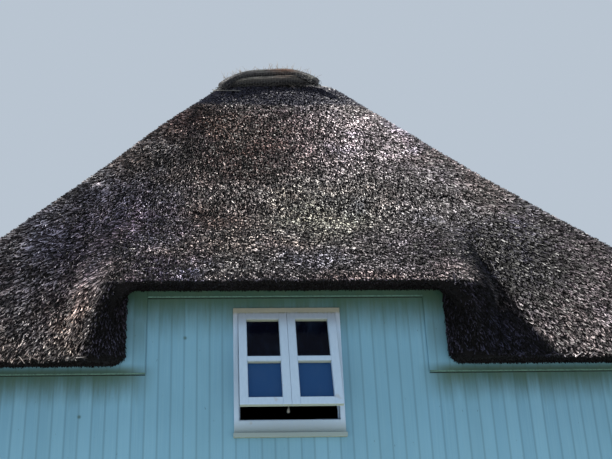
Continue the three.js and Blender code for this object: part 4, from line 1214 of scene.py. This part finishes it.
def open_window():
    """Gable window whose sashes hang from the head and stand open at the foot."""
    place = wall_place(WINDOW_AXIS, -WALL_HALF_LENGTH, 0)
    half, bottom, head = clear_opening(gable_top)
    for node in ("gable_window_frame", "gable_window_sill"):
        soft_piece(node, "joinery_" + node, gable_white, "white_wood")
    height = head - bottom - SASH_FOOT_GAP
    pivot = place @ Matrix.Translation((0, -FRAME_PROUD, head)) @ Matrix.Rotation(-SASH_TILT, 4, "X")
    for name, x0, x1 in (("left", -half + 0.002, -0.001), ("right", 0.001, half - 0.002)):
        sizes = sash_boards(x0, x1, -height, -0.0003, 0, SASH_THICKNESS, BAR_DROP)
        sash = boxes("sash_" + name, sizes, pivot, gable_white)
        shown(sash, "white_wood", f"gable_window_sash_{name}")
        beads = pane_beads(x0, x1, -height, 0, 0.008, SASH_THICKNESS - 0.001, BEAD, BAR_DROP)
        shown(boxes("beads_" + name, beads, pivot, gable_white, 0.002), "white_wood")
        recolour(NODES[f"gable_window_glass_{name}"], gable_glass)
    latch = [pivot @ Vector((x, y + SASH_THICKNESS + LATCH_PROUD, z - height)) for x, y, z in LATCH_LINE]
    shown(strands("latch", [tube(latch, np.array(LATCH_RADII), 10)], steel), "bare_steel")
    stops = [(-half, half, bottom - 0.001, bottom + 0.02), (-half, -half + STOP_WIDTH, bottom, head),
             (half - STOP_WIDTH, half, bottom, head), (-half, half, head - STOP_WIDTH, head)]
    stops = [(x0, x1, STOP_NEAR, STOP_FAR, z0, z1) for x0, x1, z0, z1 in stops]
    shown(boxes("window_stops", stops, place, gable_white), "white_wood")


open_window()

for node in NODES:
    if node.startswith("glass_"):
        recolour(NODES[node], gable_glass if node == "glass_back_gable" else ground_glass)


# Plinth, floors and door


def stone(rng, x0, x1, z0, z1, proud):
    """Rounded fieldstone as places and quads, facing -Y, on a grid of corners."""
    across, up = 8, 6
    u, v = np.meshgrid(np.linspace(-1, 1, across), np.linspace(-1, 1, up))
    swell = (1 - np.abs(u) ** 3.5) * (1 - np.abs(v) ** 3.5)
    x = (x0 + x1) / 2 + u * (x1 - x0) / 2 * (1 - 0.12 * v ** 2)
    z = (z0 + z1) / 2 + v * (z1 - z0) / 2 * (1 - 0.1 * u ** 2)
    jitter = rng.normal(0, STONE_ROUGHNESS, u.shape)
    y = -proud * swell - jitter * (swell > 0.01)
    front = np.stack([x, y, z], axis=-1).reshape(-1, 3)
    back = front.copy()
    back[:, 1] = STONE_BACK
    count = across * up
    corner = np.arange(count).reshape(up, across)
    cells = [corner[:-1, :-1], corner[:-1, 1:], corner[1:, 1:], corner[1:, :-1]]
    cells = np.stack(cells, axis=-1).reshape(-1, 4)
    rim = [*corner[0], *corner[1:, -1], *corner[-1, -2::-1], *corner[-2:0:-1, 0]]
    sides = [[a, a + count, b + count, b] for a, b in zip(rim, rim[1:] + rim[:1])]
    return np.vstack([front, back]), np.vstack([cells, cells[:, ::-1] + count, np.array(sides)])


def stone_row(node, side, seed):
    """Two courses of fieldstone in a plinth's outer face."""
    rng = np.random.default_rng(seed)
    low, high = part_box(node)
    x, y, turn = WALL_SIDES[side]
    if side in GABLES:
        half, out = (high.x - low.x) / 2, max(-low.y, high.y) - WALL_HALF_LENGTH
    else:
        half, out = (high.y - low.y) / 2, max(-low.x, high.x) - WALL_HALF_WIDTH
    place = wall_place(x, y, turn) @ Matrix.Translation((0, -out, 0))
    tubes = []
    top = high.z
    for z0, z1 in ((0.01, 0.49 * top), (0.52 * top, top - 0.012)):
        start = -half + STONE_END
        while start < half - 0.12:
            width = min(rng.uniform(*STONE_WIDTH), half - start - STONE_END)
            if half - start - width < STONE_LEAST:
                width = half - start - STONE_END
            foot = z0 + rng.uniform(0, 0.008)
            places, quads = stone(rng, start, start + width - STONE_JOINT, foot, z1, STONE_PROUD)
            tubes.append((np.array([place @ Vector(p) for p in places]), quads))
            start += width
    return shown(strands("stones_" + node, tubes, fieldstone), "plinth")


for number, side in enumerate(WALL_SIDES):
    recolour(NODES["plinth_" + side], mortar)
    stone_row("plinth_" + side, side, 60 + number)

for node in ("ground_floor", "upper_floor"):
    recolour(NODES[node], old_boards)

leaf = node_copy("door_leaf", "boarded_door_leaf")
leaf_low, leaf_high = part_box("door_leaf")
cut_grooves(leaf, grooves("door_grooves", "Y", leaf_low.y, leaf_high.y, leaf_high.x, 1, 0.0))
recolour(leaf, door_boards)
shown(leaf, "painted_boards", "door_leaf")
soft_piece("door_frame", "joinery_door_frame", door_white, "white_wood")
soft_piece("door_step", "worn_door_step", step_stone, "plinth", 0.015, 3)


def door_fittings():
    """Strap hinges with their pins, and the plate round the knob, on the outside of the door."""
    face = leaf_high.x - WALL_HALF_WIDTH
    place = wall_place(WALL_HALF_WIDTH, 0, math.pi / 2)
    knob = sum(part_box("door_knob"), Vector()) / 2
    hand = math.copysign(1, knob.y)
    hung = -hand * (leaf_high.y - leaf_low.y) / 2
    sizes = []
    for height in (leaf_low.z + STRAP_FROM_END, leaf_high.z - STRAP_FROM_END):
        for start, length, tall, proud, back in ((0.985, STRAP_LENGTH, STRAP_HEIGHT, STRAP_PROUD, 0.001),
                                                 (0.99, PIN_LENGTH, PIN_HEIGHT, PIN_PROUD, -0.004)):
            ends = sorted((hung * start, hung * start + hand * length))
            sizes.append((*ends, -face - proud, -face + back, height - tall, height + tall))
    sizes.append((knob.y - PLATE_HALF_WIDTH, knob.y + PLATE_HALF_WIDTH, -face - PLATE_PROUD, -face + 0.001,
                  knob.z - PLATE_BELOW, knob.z + PLATE_ABOVE))
    shown(boxes("door_ironwork", sizes, place, iron, 0.002), "bare_steel")


door_fittings()
recolour(NODES["door_knob"], steel)


# Floor, light and camera

pale = Finish("pale_floor")
pale.set(Base_Color=colour(168, 168, 166), Roughness=0.9)
corners = [(x * FLOOR_REACH, y * FLOOR_REACH, -FLOOR_DROP) for x, y in ((-1, -1), (1, -1), (1, 1), (-1, 1))]
ground = mesh_object("studio_floor", corners, [[0, 1, 2, 3]], [pale.material])

scene = bpy.context.scene
scene.view_settings.view_transform = "Standard"
world = bpy.data.worlds.new("studio")
scene.world = world
world.use_nodes = True
sky = world.node_tree.nodes["Background"]
sky.inputs["Color"].default_value = SKY_COLOUR
sky.inputs["Strength"].default_value = SKY_STRENGTH

sun_light = bpy.data.lights.new("sun", "SUN")
sun_light.energy = SUN_ENERGY
sun_light.angle = SUN_ANGLE
sun_light.color = SUN_COLOUR
sun = bpy.data.objects.new("sun", sun_light)
scene.collection.objects.link(sun)
sun.rotation_mode = "QUATERNION"
sun.rotation_quaternion = SUN_FROM.to_track_quat("Z", "Y")

forward = Vector((math.sin(YAW) * math.cos(PITCH), math.cos(YAW) * math.cos(PITCH), math.sin(PITCH)))
level = Vector((math.cos(YAW), -math.sin(YAW), 0))
upright = level.cross(forward)
right = math.cos(ROLL) * level + math.sin(ROLL) * upright
up = math.cos(ROLL) * upright - math.sin(ROLL) * level
lens = bpy.data.cameras.new("camera")
lens.sensor_width = SENSOR_WIDTH
lens.lens = lens.sensor_width * FOCAL_PIXELS / IMAGE_WIDTH
lens.shift_x = (IMAGE_WIDTH / 2 - PRINCIPAL_X) / IMAGE_WIDTH
camera = bpy.data.objects.new("camera", lens)
scene.collection.objects.link(camera)
turned = Matrix((right, up, -forward)).transposed()
camera.matrix_world = Matrix.Translation(CAMERA_PLACE) @ turned.to_4x4()
scene.camera = camera
